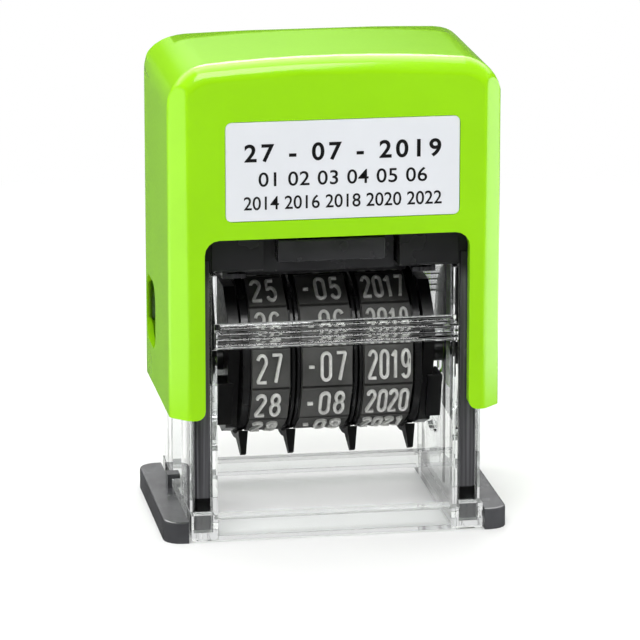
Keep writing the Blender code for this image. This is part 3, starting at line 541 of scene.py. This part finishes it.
def clear_moulding():
    """Clear plastic that lets the lamps through to what is behind it.

    Its roughness is 0, so that the floor and the world can tell its mirrored rays from those of other plastics.
    """
    base = colours().clear
    made = Maker("clear_moulding", base, 0.0, transmission_weight=1.0, ior=PLASTIC_IOR)
    made.colour(made.patches(base, scale=90, low=1, high=1.03))
    made.bump(scale=200, distance=0.01 * MM, strength=0.15, detail=1)
    shadow = made.add("ShaderNodeBsdfTransparent")
    shadow.inputs["Color"].default_value = (0.69, 0.7, 0.69, 1)
    path = made.add("ShaderNodeLightPath").outputs
    made.surface(made.mixed(path["Is Shadow Ray"], made.shader.outputs[0], shadow.outputs[0]))
    return made.material


def painted_edge_lines():
    """Painted edge lines on the rounded edges of the clear moulding: half clear, rough and grey in patches, so
    that they show as grey lines in place of the highlights and dark lines that light draws along its edges.
    """
    # Painted edge lines: greys that stand in for the light and shade seen along clear edges
    dark = (0.28, 0.285, 0.285)
    pale = (0.45, 0.45, 0.45)
    made = Maker("painted_edge_lines", pale, 0.25, transmission_weight=0.35, ior=PLASTIC_IOR)
    made.colour(made.tint(made.remap(made.noise(700), 0, 1), dark, pale))
    made.rough(scale=900, low=0.18, high=0.34)
    return made.material


def worn_numbers():
    """Rubber that is worn pale on the faces of the numbers, in fine patches."""
    base = colours().numbers
    made = Maker("number_rubber", base, 0.55)
    made.colour(made.patches(base, scale=900, low=0.82, high=1.1, detail=4))
    made.rough(scale=1500, low=0.48, high=0.62)
    made.bump(scale=4000, distance=0.02 * MM, strength=0.4)
    return made.material


def drawn_steel():
    """Bright wire with fine marks along it."""
    base = colours().steel
    made = Maker("drawn_steel", base, 0.3, metallic=1.0)
    made.colour(made.patches(base, scale=600, low=0.85, high=1.1))
    made.rough(scale=3000, low=0.22, high=0.38, detail=4, stretch=(1, 1, 0.1))
    made.bump(scale=5000, distance=0.004 * MM, strength=0.4, detail=3, stretch=(0.1, 1, 1))
    return made.material


def inked_felt():
    """Felt wet with ink, darker in the damp patches."""
    base = colours().felt
    made = Maker("inked_felt", base, 0.85, sheen_weight=0.15, sheen_roughness=0.5)
    made.colour(made.patches(base, scale=500, low=0.6, high=1.6, detail=4))
    made.rough(scale=700, low=0.6, high=0.95)
    made.bump(scale=9000, distance=0.08 * MM, strength=0.8, detail=5)
    return made.material


def printed_ink():
    """Flat dark print with slight unevenness."""
    base = colours().print
    made = Maker("printed_ink", base, 0.5)
    made.colour(made.patches(base, scale=3000, low=0.8, high=1.6))
    made.rough(scale=2000, low=0.4, high=0.6)
    return made.material


def studio_floor():
    """Pale floor that keeps the shadow near the stamp and runs out into white."""
    made = Maker("studio_floor", (0.86, 0.86, 0.86), 0.7)
    made.colour(made.tint(made.remap(made.noise(6), 0, 1), *FLOOR_TONES))
    axes = made.axes(made.place)
    path = made.add("ShaderNodeLightPath").outputs
    clear = made.clear_rays(path)

    # Mirrors see a bright strip on each side, the right one brighter, and a dim floor elsewhere
    beside = made.remap(made.maths("ABSOLUTE", axes["X"]), low=0, high=1, start=0.07, end=0.1)
    level = made.remap(made.maths("ABSOLUTE", axes["Y"]), low=1, high=0, start=0.08, end=0.12)
    rightwards = made.remap(axes["X"], low=1.4, high=2.5, start=-0.02, end=0.02)
    strips = made.maths("MULTIPLY", made.maths("MULTIPLY", beside, level), rightwards)
    behind = made.remap(axes["Y"], low=0.07, high=0.15, start=0, end=0.05)
    mirrored = made.glow(made.maths("ADD", strips, behind))

    # The eye sees the lit floor near the stamp and white farther out
    away = made.add("ShaderNodeVectorMath", operation="LENGTH")
    made.link(made.place, away.inputs[0])
    far = made.remap(away.outputs["Value"], low=0, high=1, start=0.04, end=0.2)
    paper = made.mixed(far, made.shader.outputs[0], made.glow(1.0))

    # Clear plastic sees the same, but dark in front of the stamp, which draws its edges
    in_front = made.remap(axes["Y"], low=1, high=0, start=-0.06, end=-0.018)
    seen = made.mixed(made.maths("MULTIPLY", clear, in_front), paper, made.glow(0.07))

    eye = made.maths("MAXIMUM", path["Is Camera Ray"], clear)
    unseen = made.mixed(path["Is Glossy Ray"], made.shader.outputs[0], mirrored)
    made.surface(made.mixed(eye, unseen, seen))
    return made.material


def studio_world():
    """A soft even light, with a pale backdrop behind the stamp and a dim room in front of it."""
    world = bpy.data.worlds.new("studio")
    world.use_nodes = True
    made = Nodes(world.node_tree)
    axes = made.axes(made.add("ShaderNodeTexCoord").outputs["Generated"])
    path = made.add("ShaderNodeLightPath").outputs
    soft = made.tree.nodes["Background"]
    soft.inputs["Color"].default_value = (1, 1, 1, 1)
    soft.inputs["Strength"].default_value = SOFT_LIGHT
    behind = made.remap(axes["Y"], low=0.08, high=1, start=0, end=0.5)

    # Mirrors see the backdrop above the floor's far edge, and a brighter screen at its top
    backdrop = made.remap(axes["Z"], low=0.08, high=0.8, start=0.14, end=0.26)
    screen = made.remap(axes["Z"], low=0, high=3, start=0.36, end=0.44)
    mirrored = made.add("ShaderNodeBackground")
    made.link(made.maths("MULTIPLY", made.maths("ADD", backdrop, screen), behind), mirrored.inputs["Strength"])

    # Clear plastic sees the backdrop up to a dark ceiling
    below_ceiling = made.remap(axes["Z"], low=1, high=0.04, start=0.3, end=0.6)
    room = made.maths("MULTIPLY", behind, below_ceiling)
    seen = made.add("ShaderNodeBackground")
    made.link(made.maths("MAXIMUM", path["Is Camera Ray"], room), seen.inputs["Strength"])

    unseen = made.mixed(path["Is Glossy Ray"], soft.outputs[0], mirrored.outputs[0])
    eye = made.maths("MAXIMUM", path["Is Camera Ray"], made.clear_rays(path))
    made.link(made.mixed(eye, unseen, seen.outputs[0]), made.tree.nodes["World Output"].inputs["Surface"])
    return world


def assign(obj, material):
    """Gives the object one material all over."""
    obj.data.materials.clear()
    obj.data.materials.append(material)


# Mesh helpers


def select_only(obj):
    """Leaves edit mode, and selects one object alone and makes it active."""
    if bpy.context.mode != "OBJECT":
        bpy.ops.object.mode_set(mode="OBJECT")
    bpy.ops.object.select_all(action="DESELECT")
    obj.select_set(True)
    bpy.context.view_layer.objects.active = obj


def even_shading(piece):
    """Keeps large flat faces flat in the light, so that the curve of an edge stays at the edge."""
    modifier = piece.modifiers.new("shading", "WEIGHTED_NORMAL")
    modifier.keep_sharp = True
    modifier.weight = FACE_WEIGHT
    select_only(piece)
    bpy.ops.object.modifier_apply(modifier=modifier.name)


def split_faces(normal, spots):
    """Cuts the edited mesh along flat planes, so that shading bends only in the narrow strips between them."""
    for spot in spots:
        bpy.ops.mesh.select_all(action="SELECT")
        bpy.ops.mesh.bisect(plane_co=tuple(spot * axis for axis in normal), plane_no=normal)


def softened(node, name, width, angle=40, segments=2, spread=None, splits=(), edge=None):
    """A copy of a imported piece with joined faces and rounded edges, which stands for it.

    Edges sharper than the angle are rounded by the width. splits are the normals and spots of split_faces, edge
    is a material for the rounded edges, and spread is a matrix that the finished mesh is put through.
    """
    source = frame["nodes"][node]
    body = source["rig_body"]
    select_only(source)
    bpy.ops.object.duplicate()
    piece = bpy.context.object
    piece.name = name
    piece.parent = None
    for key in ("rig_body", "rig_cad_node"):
        del piece[key]
    bpy.ops.object.mode_set(mode="EDIT")
    bpy.ops.mesh.select_all(action="SELECT")
    bpy.ops.mesh.remove_doubles(threshold=JOIN_DISTANCE)
    bpy.ops.mesh.dissolve_limited(angle_limit=math.radians(FLAT_ANGLE))
    for normal, spots in splits:
        split_faces(normal, spots)
    bpy.ops.object.mode_set(mode="OBJECT")
    if width:
        modifier = piece.modifiers.new("edges", "BEVEL")
        modifier.width = width
        modifier.segments = segments
        modifier.limit_method = "ANGLE"
        modifier.angle_limit = math.radians(angle)
        if edge:
            piece.data.materials.append(edge)
            modifier.material = 1
        bpy.ops.object.modifier_apply(modifier=modifier.name)
    bpy.ops.object.shade_smooth_by_angle(angle=math.radians(angle))
    even_shading(piece)
    if spread:
        place(piece, spread)
    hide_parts(node)
    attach(piece, body)
    return piece


def finish_mesh(piece, angle=40):
    """Joins doubled points, turns the normals out and smooths all but the sharp edges."""
    select_only(piece)
    bpy.ops.object.mode_set(mode="EDIT")
    bpy.ops.mesh.select_all(action="SELECT")
    bpy.ops.mesh.remove_doubles(threshold=JOIN_DISTANCE)
    bpy.ops.mesh.normals_make_consistent(inside=False)
    bpy.ops.object.mode_set(mode="OBJECT")
    bpy.ops.object.shade_smooth_by_angle(angle=math.radians(angle))
    return piece


def place(piece, matrix):
    """Moves the mesh itself, so that the object stays at the origin."""
    piece.matrix_world = matrix
    select_only(piece)
    bpy.ops.object.transform_apply(location=True, rotation=True, scale=True)
    return piece


def joined(pieces, name):
    """All the pieces as one object."""
    select_only(pieces[0])
    for piece in pieces[1:]:
        piece.select_set(True)
    bpy.ops.object.join()
    made = bpy.context.object
    made.name = name
    return made


def combine(piece, form, operation):
    """Cuts the form out of the piece, or keeps only what lies inside it. The form is used up."""
    select_only(piece)
    modifier = piece.modifiers.new("form", "BOOLEAN")
    modifier.operation = operation
    modifier.solver = "EXACT"
    modifier.object = form
    bpy.ops.object.modifier_apply(modifier=modifier.name)
    bpy.data.objects.remove(form, do_unlink=True)


def cut_out(piece, corner, other):
    """Cuts a block between two corners out of the piece."""
    bpy.ops.mesh.primitive_cube_add(size=1)
    block = bpy.context.object
    block.location = [(a + b) / 2 for a, b in zip(corner, other)]
    block.scale = [abs(b - a) for a, b in zip(corner, other)]
    combine(piece, block, "DIFFERENCE")


# Raised numbers


def bow(x, y, across, up, start, end, steps=9):
    """Points on an oval arc between two angles in degrees."""
    angles = [math.radians(start + (end - start) * i / steps) for i in range(steps + 1)]
    return [(x + across * math.cos(a), y + up * math.sin(a)) for a in angles]


# Each number as strokes: whether the stroke closes, then points in half widths across and heights up
STROKES = {
    "0": [(True, bow(0, 0.8, 1, 0.2, 0, 180) + bow(0, 0.2, 1, 0.2, 180, 360))],
    "1": [(False, [(-0.8, 0.8), (0.02, 0.97), (0.12, 0.96), (0.15, 0.93), (0.15, 0)])],
    "2": [(False, bow(0, 0.77, 1, 0.23, 165, -25) + [(-0.93, 0.07), (-0.98, 0.03), (-0.94, 0), (1, 0)])],
    "3": [(False, bow(0, 0.77, 0.9, 0.23, 155, -80) + bow(0, 0.28, 1, 0.28, 80, -155))],
    "4": [
        (False, [
            (0.4, 0), (0.4, 0.94), (0.36, 0.98), (0.28, 0.97),
            (-0.92, 0.33), (-0.95, 0.29), (-0.88, 0.27), (1.1, 0.27),
        ]),
    ],
    "5": [(False, [(0.8, 1), (-0.66, 1), (-0.74, 0.97), (-0.82, 0.58)] + bow(0, 0.32, 1, 0.32, 125, -150, 12))],
    "6": [(True, bow(0, 0.3, 1, 0.3, 0, 340, 14)), (False, [(-1, 0.3)] + bow(0, 0.76, 1, 0.24, 180, 30))],
    "7": [(False, [(-1, 1), (0.9, 1), (0.97, 0.98), (0.96, 0.94), (-0.25, 0)])],
    "8": [(True, bow(0, 0.77, 0.88, 0.23, 0, 340, 14)), (True, bow(0, 0.28, 1, 0.28, 0, 340, 14))],
    "9": [(True, bow(0, 0.7, 1, 0.3, 0, 340, 14)), (False, [(1, 0.7)] + bow(0, 0.24, 1, 0.24, 0, -150))],
    "-": [(False, [(-0.62, 0.5), (0.62, 0.5)])],
}


def poly_curve(name, strokes):
    """A curve object of straight pieces through the points of each stroke."""
    bpy.ops.curve.primitive_bezier_curve_add()
    curve = bpy.context.object
    curve.name = name
    curve.data.splines.clear()
    for closed, points in strokes:
        spline = curve.data.splines.new("POLY")
        spline.points.add(len(points) - 1)
        for target, point in zip(spline.points, points):
            target.co = (*point, 1)
        spline.use_cyclic_u = closed
    return curve


def number_profile(stroke, rise):
    """The cross-section of a raised number: flat sides that lean in a little and a rounded top."""
    half = stroke / 2
    side = [(half, -NUMBER_SUNK)] + [(half * across, rise * up) for across, up in NUMBER_SIDE]
    outline = side + [(-x, y) for x, y in reversed(side)]
    return poly_curve("number_profile", [(True, [(x, y, 0) for x, y in outline])])


def number_mesh(character, half_width, profile):
    """One raised number as a mesh, standing up along Y with its face along Z."""
    tall = sizes().number_height - sizes().number_stroke
    strokes = []
    for closed, points in STROKES[character]:
        strokes.append((closed, [(x * half_width, (y - 0.5) * tall, 0) for x, y in points]))
    curve = poly_curve("number_" + character, strokes)
    curve.data.dimensions = "3D"
    curve.data.twist_mode = "Z_UP"
    curve.data.bevel_mode = "OBJECT"
    curve.data.bevel_object = profile
    curve.data.use_fill_caps = True
    select_only(curve)
    bpy.ops.object.convert(target="MESH")
    return bpy.context.object


def band_numbers(dial, words, places, half_width, profile):
    """The numbers of one band: a word for each plate, and a place across for each of its characters."""
    low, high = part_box(dial + "_band")
    middle = (low[0] + high[0]) / 2
    height = (low[2] + high[2]) / 2
    face = (high[2] - low[2]) / 2
    upright = Matrix.Rotation(math.radians(90), 4, "X")
    characters = sorted(set("".join(words)))
    patterns = {character: number_mesh(character, half_width, profile) for character in characters}
    pieces = []
    for index, word in enumerate(words):
        turn = Matrix.Rotation(math.radians(-360 * index / len(words)), 4, "X")
        for character, across in zip(word, places):
            select_only(patterns[character])
            bpy.ops.object.duplicate()
            copy = bpy.context.object
            spot = Matrix.Translation((across, -face, 0))
            pieces.append(place(copy, Matrix.Translation((middle, 0, height)) @ turn @ spot @ upright))
    for pattern in patterns.values():
        bpy.data.objects.remove(pattern, do_unlink=True)
    piece = finish_mesh(joined(pieces, dial + "_numbers"), angle=50)
    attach(piece, dial + "_dial")
    return piece


def steps_round(count):
    """How many plates above the front each plate of a band is, from the front one upwards and round."""
    return [index if index < count / 2 else index - count for index in range(count)]


class STAMP_OT_numbers(bpy.types.Operator):
    """Models the raised numbers on the three bands"""

    bl_idname = "stamp.numbers"
    bl_label = "Raised numbers"

    def execute(self, context):
        values = sizes()
        profile = number_profile(values.number_stroke, values.number_rise)
        steps = steps_round(PLATES)
        days = [f"{(values.first_day - 1 - step) % 31 + 1:02d}" for step in steps]
        months = [f"-{(values.first_month - 1 - step) % 12 + 1:02d}" for step in steps]
        years = [str(values.first_year - step) for step in steps]
        material = worn_numbers()
        for dial, words, places, half_width in (
            ("day", days, DAY_PLACES, WIDE_HALF),
            ("month", months, MONTH_PLACES, WIDE_HALF),
            ("year", years, YEAR_PLACES, NARROW_HALF),
        ):
            assign(band_numbers(dial, words, places, half_width, profile), material)
        bpy.data.objects.remove(profile, do_unlink=True)
        return {"FINISHED"}


class STAMP_OT_spring(bpy.types.Operator):
    """Models the return spring as wound wire with closed ends"""

    bl_idname = "stamp.spring"
    bl_label = "Return spring"

    def execute(self, context):
        values = sizes()
        low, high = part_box("return_spring")
        wire = values.wire / 2
        radius = (high[0] - low[0]) / 2 - wire
        start = low[2] + wire
        end = high[2] - wire
        closed = CLOSED_PITCH * wire
        rise = (end - start - 2 * closed) / values.curls
        points = []
        for index in range((values.curls + 2) * CURL_POINTS + 1):
            curl = index / CURL_POINTS
            height = min(curl, 1) * closed + max(0, min(curl - 1, values.curls)) * rise
            height += max(0, curl - 1 - values.curls) * closed
            angle = 2 * math.pi * curl
            points.append((radius * math.cos(angle), radius * math.sin(angle), start + height))
        curve = poly_curve("spring_wire", [(False, points)])
        curve.data.dimensions = "3D"
        curve.data.bevel_depth = wire
        curve.data.bevel_resolution = 3
        curve.data.use_fill_caps = True
        select_only(curve)
        bpy.ops.object.convert(target="MESH")
        spring = finish_mesh(bpy.context.object, angle=60)
        assign(spring, drawn_steel())
        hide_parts("return_spring")
        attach(spring, "frame")
        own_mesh(spring)
        return {"FINISHED"}


class STAMP_OT_pad(bpy.types.Operator):
    """Models the ink pad as a soft block of felt"""

    bl_idname = "stamp.pad"
    bl_label = "Ink pad"

    def execute(self, context):
        low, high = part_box("ink_pad")
        bpy.ops.mesh.primitive_cube_add(size=1)
        pad = bpy.context.object
        pad.name = "felt_pad"
        middle = Vector(low).lerp(Vector(high), 0.5)
        spread = Vector(high) - Vector(low)
        place(pad, Matrix.Translation(middle) @ Matrix.Diagonal((*spread, 1)))
        bpy.ops.object.mode_set(mode="EDIT")
        bpy.ops.mesh.select_all(action="SELECT")
        bpy.ops.mesh.bevel(offset=PAD_EDGE, segments=4)
        bpy.ops.object.mode_set(mode="OBJECT")
        remesh = pad.modifiers.new("felt", "REMESH")
        remesh.mode = "VOXEL"
        remesh.voxel_size = PAD_VOXEL
        bpy.ops.object.modifier_apply(modifier=remesh.name)
        smooth = pad.modifiers.new("soft", "SMOOTH")
        smooth.factor = 0.5
        smooth.iterations = 2
        bpy.ops.object.modifier_apply(modifier=smooth.name)
        finish_mesh(pad, angle=60)
        assign(pad, inked_felt())
        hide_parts("ink_pad")
        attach(pad, "frame")
        return {"FINISHED"}


class STAMP_OT_print(bpy.types.Operator):
    """Prints rows of plain numbers on the label"""

    bl_idname = "stamp.print"
    bl_label = "Label print"

    def execute(self, context):
        low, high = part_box("label")
        middle = (low[0] + high[0]) / 2
        ink = printed_ink()
        for index, (words, rise, tall, wide, heavier, spacing) in enumerate(LABEL_ROWS):
            bpy.ops.object.text_add()
            row = bpy.context.object
            row.data.body = words
            row.data.extrude = TEXT_DEPTH
            row.data.offset = heavier
            row.data.space_character = spacing
            select_only(row)
            bpy.ops.object.convert(target="MESH")
            row = bpy.context.object
            row.name = f"label_row_{index + 1}"
            points = [vert.co for vert in row.data.vertices]
            left = min(point.x for point in points)
            right = max(point.x for point in points)
            foot = min(point.y for point in points)
            head = max(point.y for point in points)
            to_centre = Matrix.Translation((-(left + right) / 2, -foot, 0))
            scale = Matrix.Diagonal((wide / (right - left), tall / (head - foot), INK_DEPTH / TEXT_DEPTH, 1))
            stand = Matrix.Rotation(math.radians(90), 4, "X")
            spot = Matrix.Translation((middle, low[1] - INK_PROUD, low[2] + rise))
            place(row, spot @ stand @ scale @ to_centre)
            finish_mesh(row, angle=30)
            assign(row, ink)
            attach(row, "cover")
        return {"FINISHED"}


class STAMP_OT_cover(bpy.types.Operator):
    """Finishes the cover and the plate on its front"""

    bl_idname = "stamp.cover"
    bl_label = "Cover and label"

    def execute(self, context):
        low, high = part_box("cover_shell")
        front_and_rear = [low[1] + cut for cut in CUTS_FROM_FRONT] + [high[1] - cut for cut in CUTS_FROM_REAR]
        splits = (
            ((0, 1, 0), front_and_rear),
            ((0, 0, 1), [high[2] - cut for cut in CUTS_FROM_TOP]),
        )
        cover = softened("cover_shell", "cover", width=0.2 * MM, splits=splits)
        self.open_slots(cover)
        self.round_rim(cover)
        assign(cover, glossy_cover())
        label = softened("label", "label_plate", width=0.12 * MM, spread=self.fill_recess())
        assign(label, satin_plate())
        return {"FINISHED"}

    def rim_outline(self, half, foot, top):
        """The cover seen from the front: upright sides, round top corners and a slightly arched top."""
        reach = half - COVER_CORNER
        lean = math.atan(2 * COVER_ARCH * reach / half**2)
        touch = reach + COVER_CORNER * math.sin(lean)
        centre = top - COVER_ARCH * (touch / half) ** 2 - COVER_CORNER * math.cos(lean)
        shares = [step / RIM_STEPS for step in range(RIM_STEPS + 1)]
        angles = [(math.pi / 2 - lean) * share for share in shares]
        right = [(reach + COVER_CORNER * math.cos(a), centre + COVER_CORNER * math.sin(a)) for a in angles]
        across = [touch * (1 - 2 * share) for share in shares[1:-1]]
        crown = [(x, top - COVER_ARCH * (x / half) ** 2) for x in across]
        left = [(-x, z) for x, z in reversed(right)]
        return [(half, foot), *right, *crown, *left, (-half, foot)]

    def round_rim(self, cover):
        """Rounds the front rim all along the sides, the corners and the arched top."""
        low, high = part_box("cover_shell")
        half = (high[0] - low[0]) / 2 + RIM_CLEARANCE
        deep = (high[1] - low[1]) / 2 + RIM_CLEARANCE
        outline = self.rim_outline(half, low[2] - 4 * RIM_RADIUS, high[2] + RIM_CLEARANCE)
        curve = poly_curve("rim_form", [(True, [(x, z, 0) for x, z in outline])])
        curve.data.dimensions = "2D"
        curve.data.fill_mode = "BOTH"
        curve.data.bevel_depth = RIM_RADIUS
        curve.data.bevel_resolution = 4
        curve.data.offset = -RIM_RADIUS
        curve.data.extrude = deep - RIM_RADIUS + RIM_PAST_REAR
        select_only(curve)
        bpy.ops.object.convert(target="MESH")
        upright = Matrix.Rotation(math.radians(90), 4, "X")
        form = place(bpy.context.object, Matrix.Translation((0, RIM_PAST_REAR, 0)) @ upright)
        finish_mesh(form)
        combine(cover, form, "INTERSECT")
        finish_mesh(cover)
        even_shading(cover)

    def open_slots(self, cover):
        """Hollows the wall behind each side slot, so that the slot looks into the dark."""
        for side in (-1, 1):
            outer, inner = ((side * x, y, z) for x, y, z in (HOLLOW_OUTER, HOLLOW_INNER))
            cut_out(cover, outer, inner)

    def fill_recess(self):
        """The matrix that spreads the label almost to the walls of its recess."""
        low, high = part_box("label")
        middle = Matrix.Translation(((low[0] + high[0]) / 2, 0, (low[2] + high[2]) / 2))
        wide = 1 + LABEL_SPREAD / (high[0] - low[0])
        tall = 1 + LABEL_SPREAD / (high[2] - low[2])
        return middle @ Matrix.Diagonal((wide, 1, tall, 1)) @ middle.inverted()


class STAMP_OT_frame(bpy.types.Operator):
    """Finishes the clear frame, the chassis, the pad's holder and the yoke"""

    bl_idname = "stamp.frame"
    bl_label = "Clear frame and chassis"

    def execute(self, context):
        # The clear moulding's rounded edges get painted edge lines
        clear = softened("clear_frame", "clear_moulding", width=0.1 * MM, segments=1, edge=painted_edge_lines())
        clear.data.materials[0] = clear_moulding()
        # The chassis material carries painted light on the posts below the housing
        chassis = posts_with_painted_light()
        paler = shade(colours().chassis, 1.8)
        holder = moulded("holder_plastic", paler, low=0.24, high=0.28, grain=1200, depth=0.0005 * MM)
        for node, material in (("inner_frame", chassis), ("pad_cassette", holder), ("drive_yoke", chassis)):
            piece = softened(node, node + "_finished", width=0.1 * MM)
            if node == "inner_frame":
                self.groove_posts(piece)
            assign(piece, material)
        return {"FINISHED"}

    def groove_posts(self, piece):
        """Cuts fine grooves down the front of each front post."""
        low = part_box("inner_frame")[0]
        for side in (-1, 1):
            for across in GROOVES_ACROSS:
                corner = (side * across, low[1] - CUT_OVER, low[2] + GROOVE_START)
                other = (side * (across + GROOVE_WIDTH), low[1] + GROOVE_DEPTH, GROOVE_TOP)
                cut_out(piece, corner, other)
        finish_mesh(piece)
        even_shading(piece)


class STAMP_OT_feet(bpy.types.Operator):
    """Finishes the feet and cuts the slits beside their clips"""

    bl_idname = "stamp.feet"
    bl_label = "Feet"

    def execute(self, context):
        material = moulded("foot_plastic", colours().feet, low=0.16, high=0.24, grain=2600, depth=0.001 * MM)
        near, far = SLIT_ACROSS
        for node, side in (("foot_left", -1), ("foot_right", 1)):
            foot = softened(node, node + "_finished", width=0.25 * MM, segments=3)
            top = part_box(node)[1][2]
            for start, end in SLITS_ALONG:
                cut_out(foot, (side * near, start, top - SLIT_DEPTH), (side * far, end, top + CUT_OVER))
            finish_mesh(foot)
            assign(foot, material)
        return {"FINISHED"}


class STAMP_OT_dials(bpy.types.Operator):
    """Finishes the carrier, the wheels and the bands"""

    bl_idname = "stamp.dials"
    bl_label = "Carrier and dials"

    def execute(self, context):
        black = moulded("carrier_plastic", colours().carrier, low=0.3, high=0.45, grain=5200, depth=0.01 * MM)
        rubber = moulded("band_rubber", colours().bands, low=0.5, high=0.65, grain=3800, depth=0.02 * MM)
        paler = shade(colours().carrier, 3)
        glossy = moulded("wheel_plastic", paler, low=0.16, high=0.24, grain=5200, depth=0.002 * MM)
        for nodes, width, angle, material, slot in (
            (("cheek_left", "cheek_right", "divider_comb"), 0.08 * MM, 40, black, "black_plastic"),
            (("day_wheel", "month_wheel", "year_wheel"), 0, 20, glossy, "black_plastic"),
            (("day_band", "month_band", "year_band"), 0.08 * MM, 20, rubber, "band_rubber"),
        ):
            for node in nodes:
                piece = softened(node, node + "_finished", width, angle)
                assign(piece, material)
        shaft = softened("wheel_axle", "wheel_shaft", width=0.1 * MM)
        assign(shaft, drawn_steel())
        return {"FINISHED"}


class STAMP_OT_stage(bpy.types.Operator):
    """Sets up the floor, the lamps and the camera"""

    bl_idname = "stamp.stage"
    bl_label = "Studio"

    def execute(self, context):
        scene = context.scene
        select_only(next(iter(frame["nodes"].values())))
        bpy.ops.mesh.primitive_plane_add(size=FLOOR_SIZE, location=(0, 0, 0))
        floor = context.object
        floor.name = "floor"
        assign(floor, studio_floor())
        scene.world = studio_world()
        self.lamps(scene)
        self.camera(scene)
        scene.view_settings.view_transform = "Standard"
        return {"FINISHED"}

    def lamps(self, scene):
        """Square soft lamps that face the stamp."""
        for name, spot, size, power, mirrored in LAMPS:
            data = bpy.data.lights.new(name, "AREA")
            data.shape = "SQUARE"
            data.size = size
            data.energy = power * studio().lamps
            lamp = bpy.data.objects.new(name, data)
            scene.collection.objects.link(lamp)
            lamp.visible_glossy = mirrored
            lamp.location = spot
            lamp.rotation_euler = (Vector(LAMPS_AIM) - Vector(spot)).to_track_quat("-Z", "Y").to_euler()

    def camera(self, scene):
        """The camera at the stamp's front, a little to its left and above."""
        values = studio()
        data = bpy.data.cameras.new("camera")
        data.lens = values.lens
        data.sensor_width = SENSOR_WIDTH
        data.clip_start = 0.01
        camera = bpy.data.objects.new("camera", data)
        scene.collection.objects.link(camera)
        back = Vector((
            math.sin(values.azimuth) * math.cos(values.elevation),
            -math.cos(values.azimuth) * math.cos(values.elevation),
            math.sin(values.elevation),
        ))
        camera.location = Vector((0, 0, values.aim_height)) + back * values.distance
        camera.rotation_euler = (-back).to_track_quat("-Z", "Y").to_euler()
        scene.camera = camera


class STAMP_PT_panel(bpy.types.Panel):
    """Lists the stamp's operators and values"""

    bl_idname = "STAMP_PT_panel"
    bl_label = "Date stamp"
    bl_space_type = "VIEW_3D"
    bl_region_type = "UI"
    bl_category = "Date stamp"

    def draw(self, context):
        for group in (context.scene.stamp_colours, context.scene.stamp_sizes, context.scene.stamp_studio):
            box = self.layout.box()
            for name in group.__annotations__:
                box.prop(group, name)
        for operator in OPERATORS:
            self.layout.operator(operator.bl_idname)


OPERATORS = (
    STAMP_OT_cover,
    STAMP_OT_print,
    STAMP_OT_frame,
    STAMP_OT_feet,
    STAMP_OT_pad,
    STAMP_OT_spring,
    STAMP_OT_dials,
    STAMP_OT_numbers,
    STAMP_OT_stage,
)
CLASSES = (StampColours, StampSizes, StampStudio, *OPERATORS, STAMP_PT_panel)


def register():
    for item in CLASSES:
        bpy.utils.register_class(item)
    bpy.types.Scene.stamp_colours = bpy.props.PointerProperty(type=StampColours)
    bpy.types.Scene.stamp_sizes = bpy.props.PointerProperty(type=StampSizes)
    bpy.types.Scene.stamp_studio = bpy.props.PointerProperty(type=StampStudio)


def unregister():
    del bpy.types.Scene.stamp_studio
    del bpy.types.Scene.stamp_sizes
    del bpy.types.Scene.stamp_colours
    for item in reversed(CLASSES):
        bpy.utils.unregister_class(item)


def main():
    """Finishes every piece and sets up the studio."""
    register()
    bpy.ops.stamp.cover()
    bpy.ops.stamp.print()
    bpy.ops.stamp.frame()
    bpy.ops.stamp.feet()
    bpy.ops.stamp.pad()
    bpy.ops.stamp.spring()
    bpy.ops.stamp.dials()
    bpy.ops.stamp.numbers()
    bpy.ops.stamp.stage()


if __name__ == "__main__":
    main()
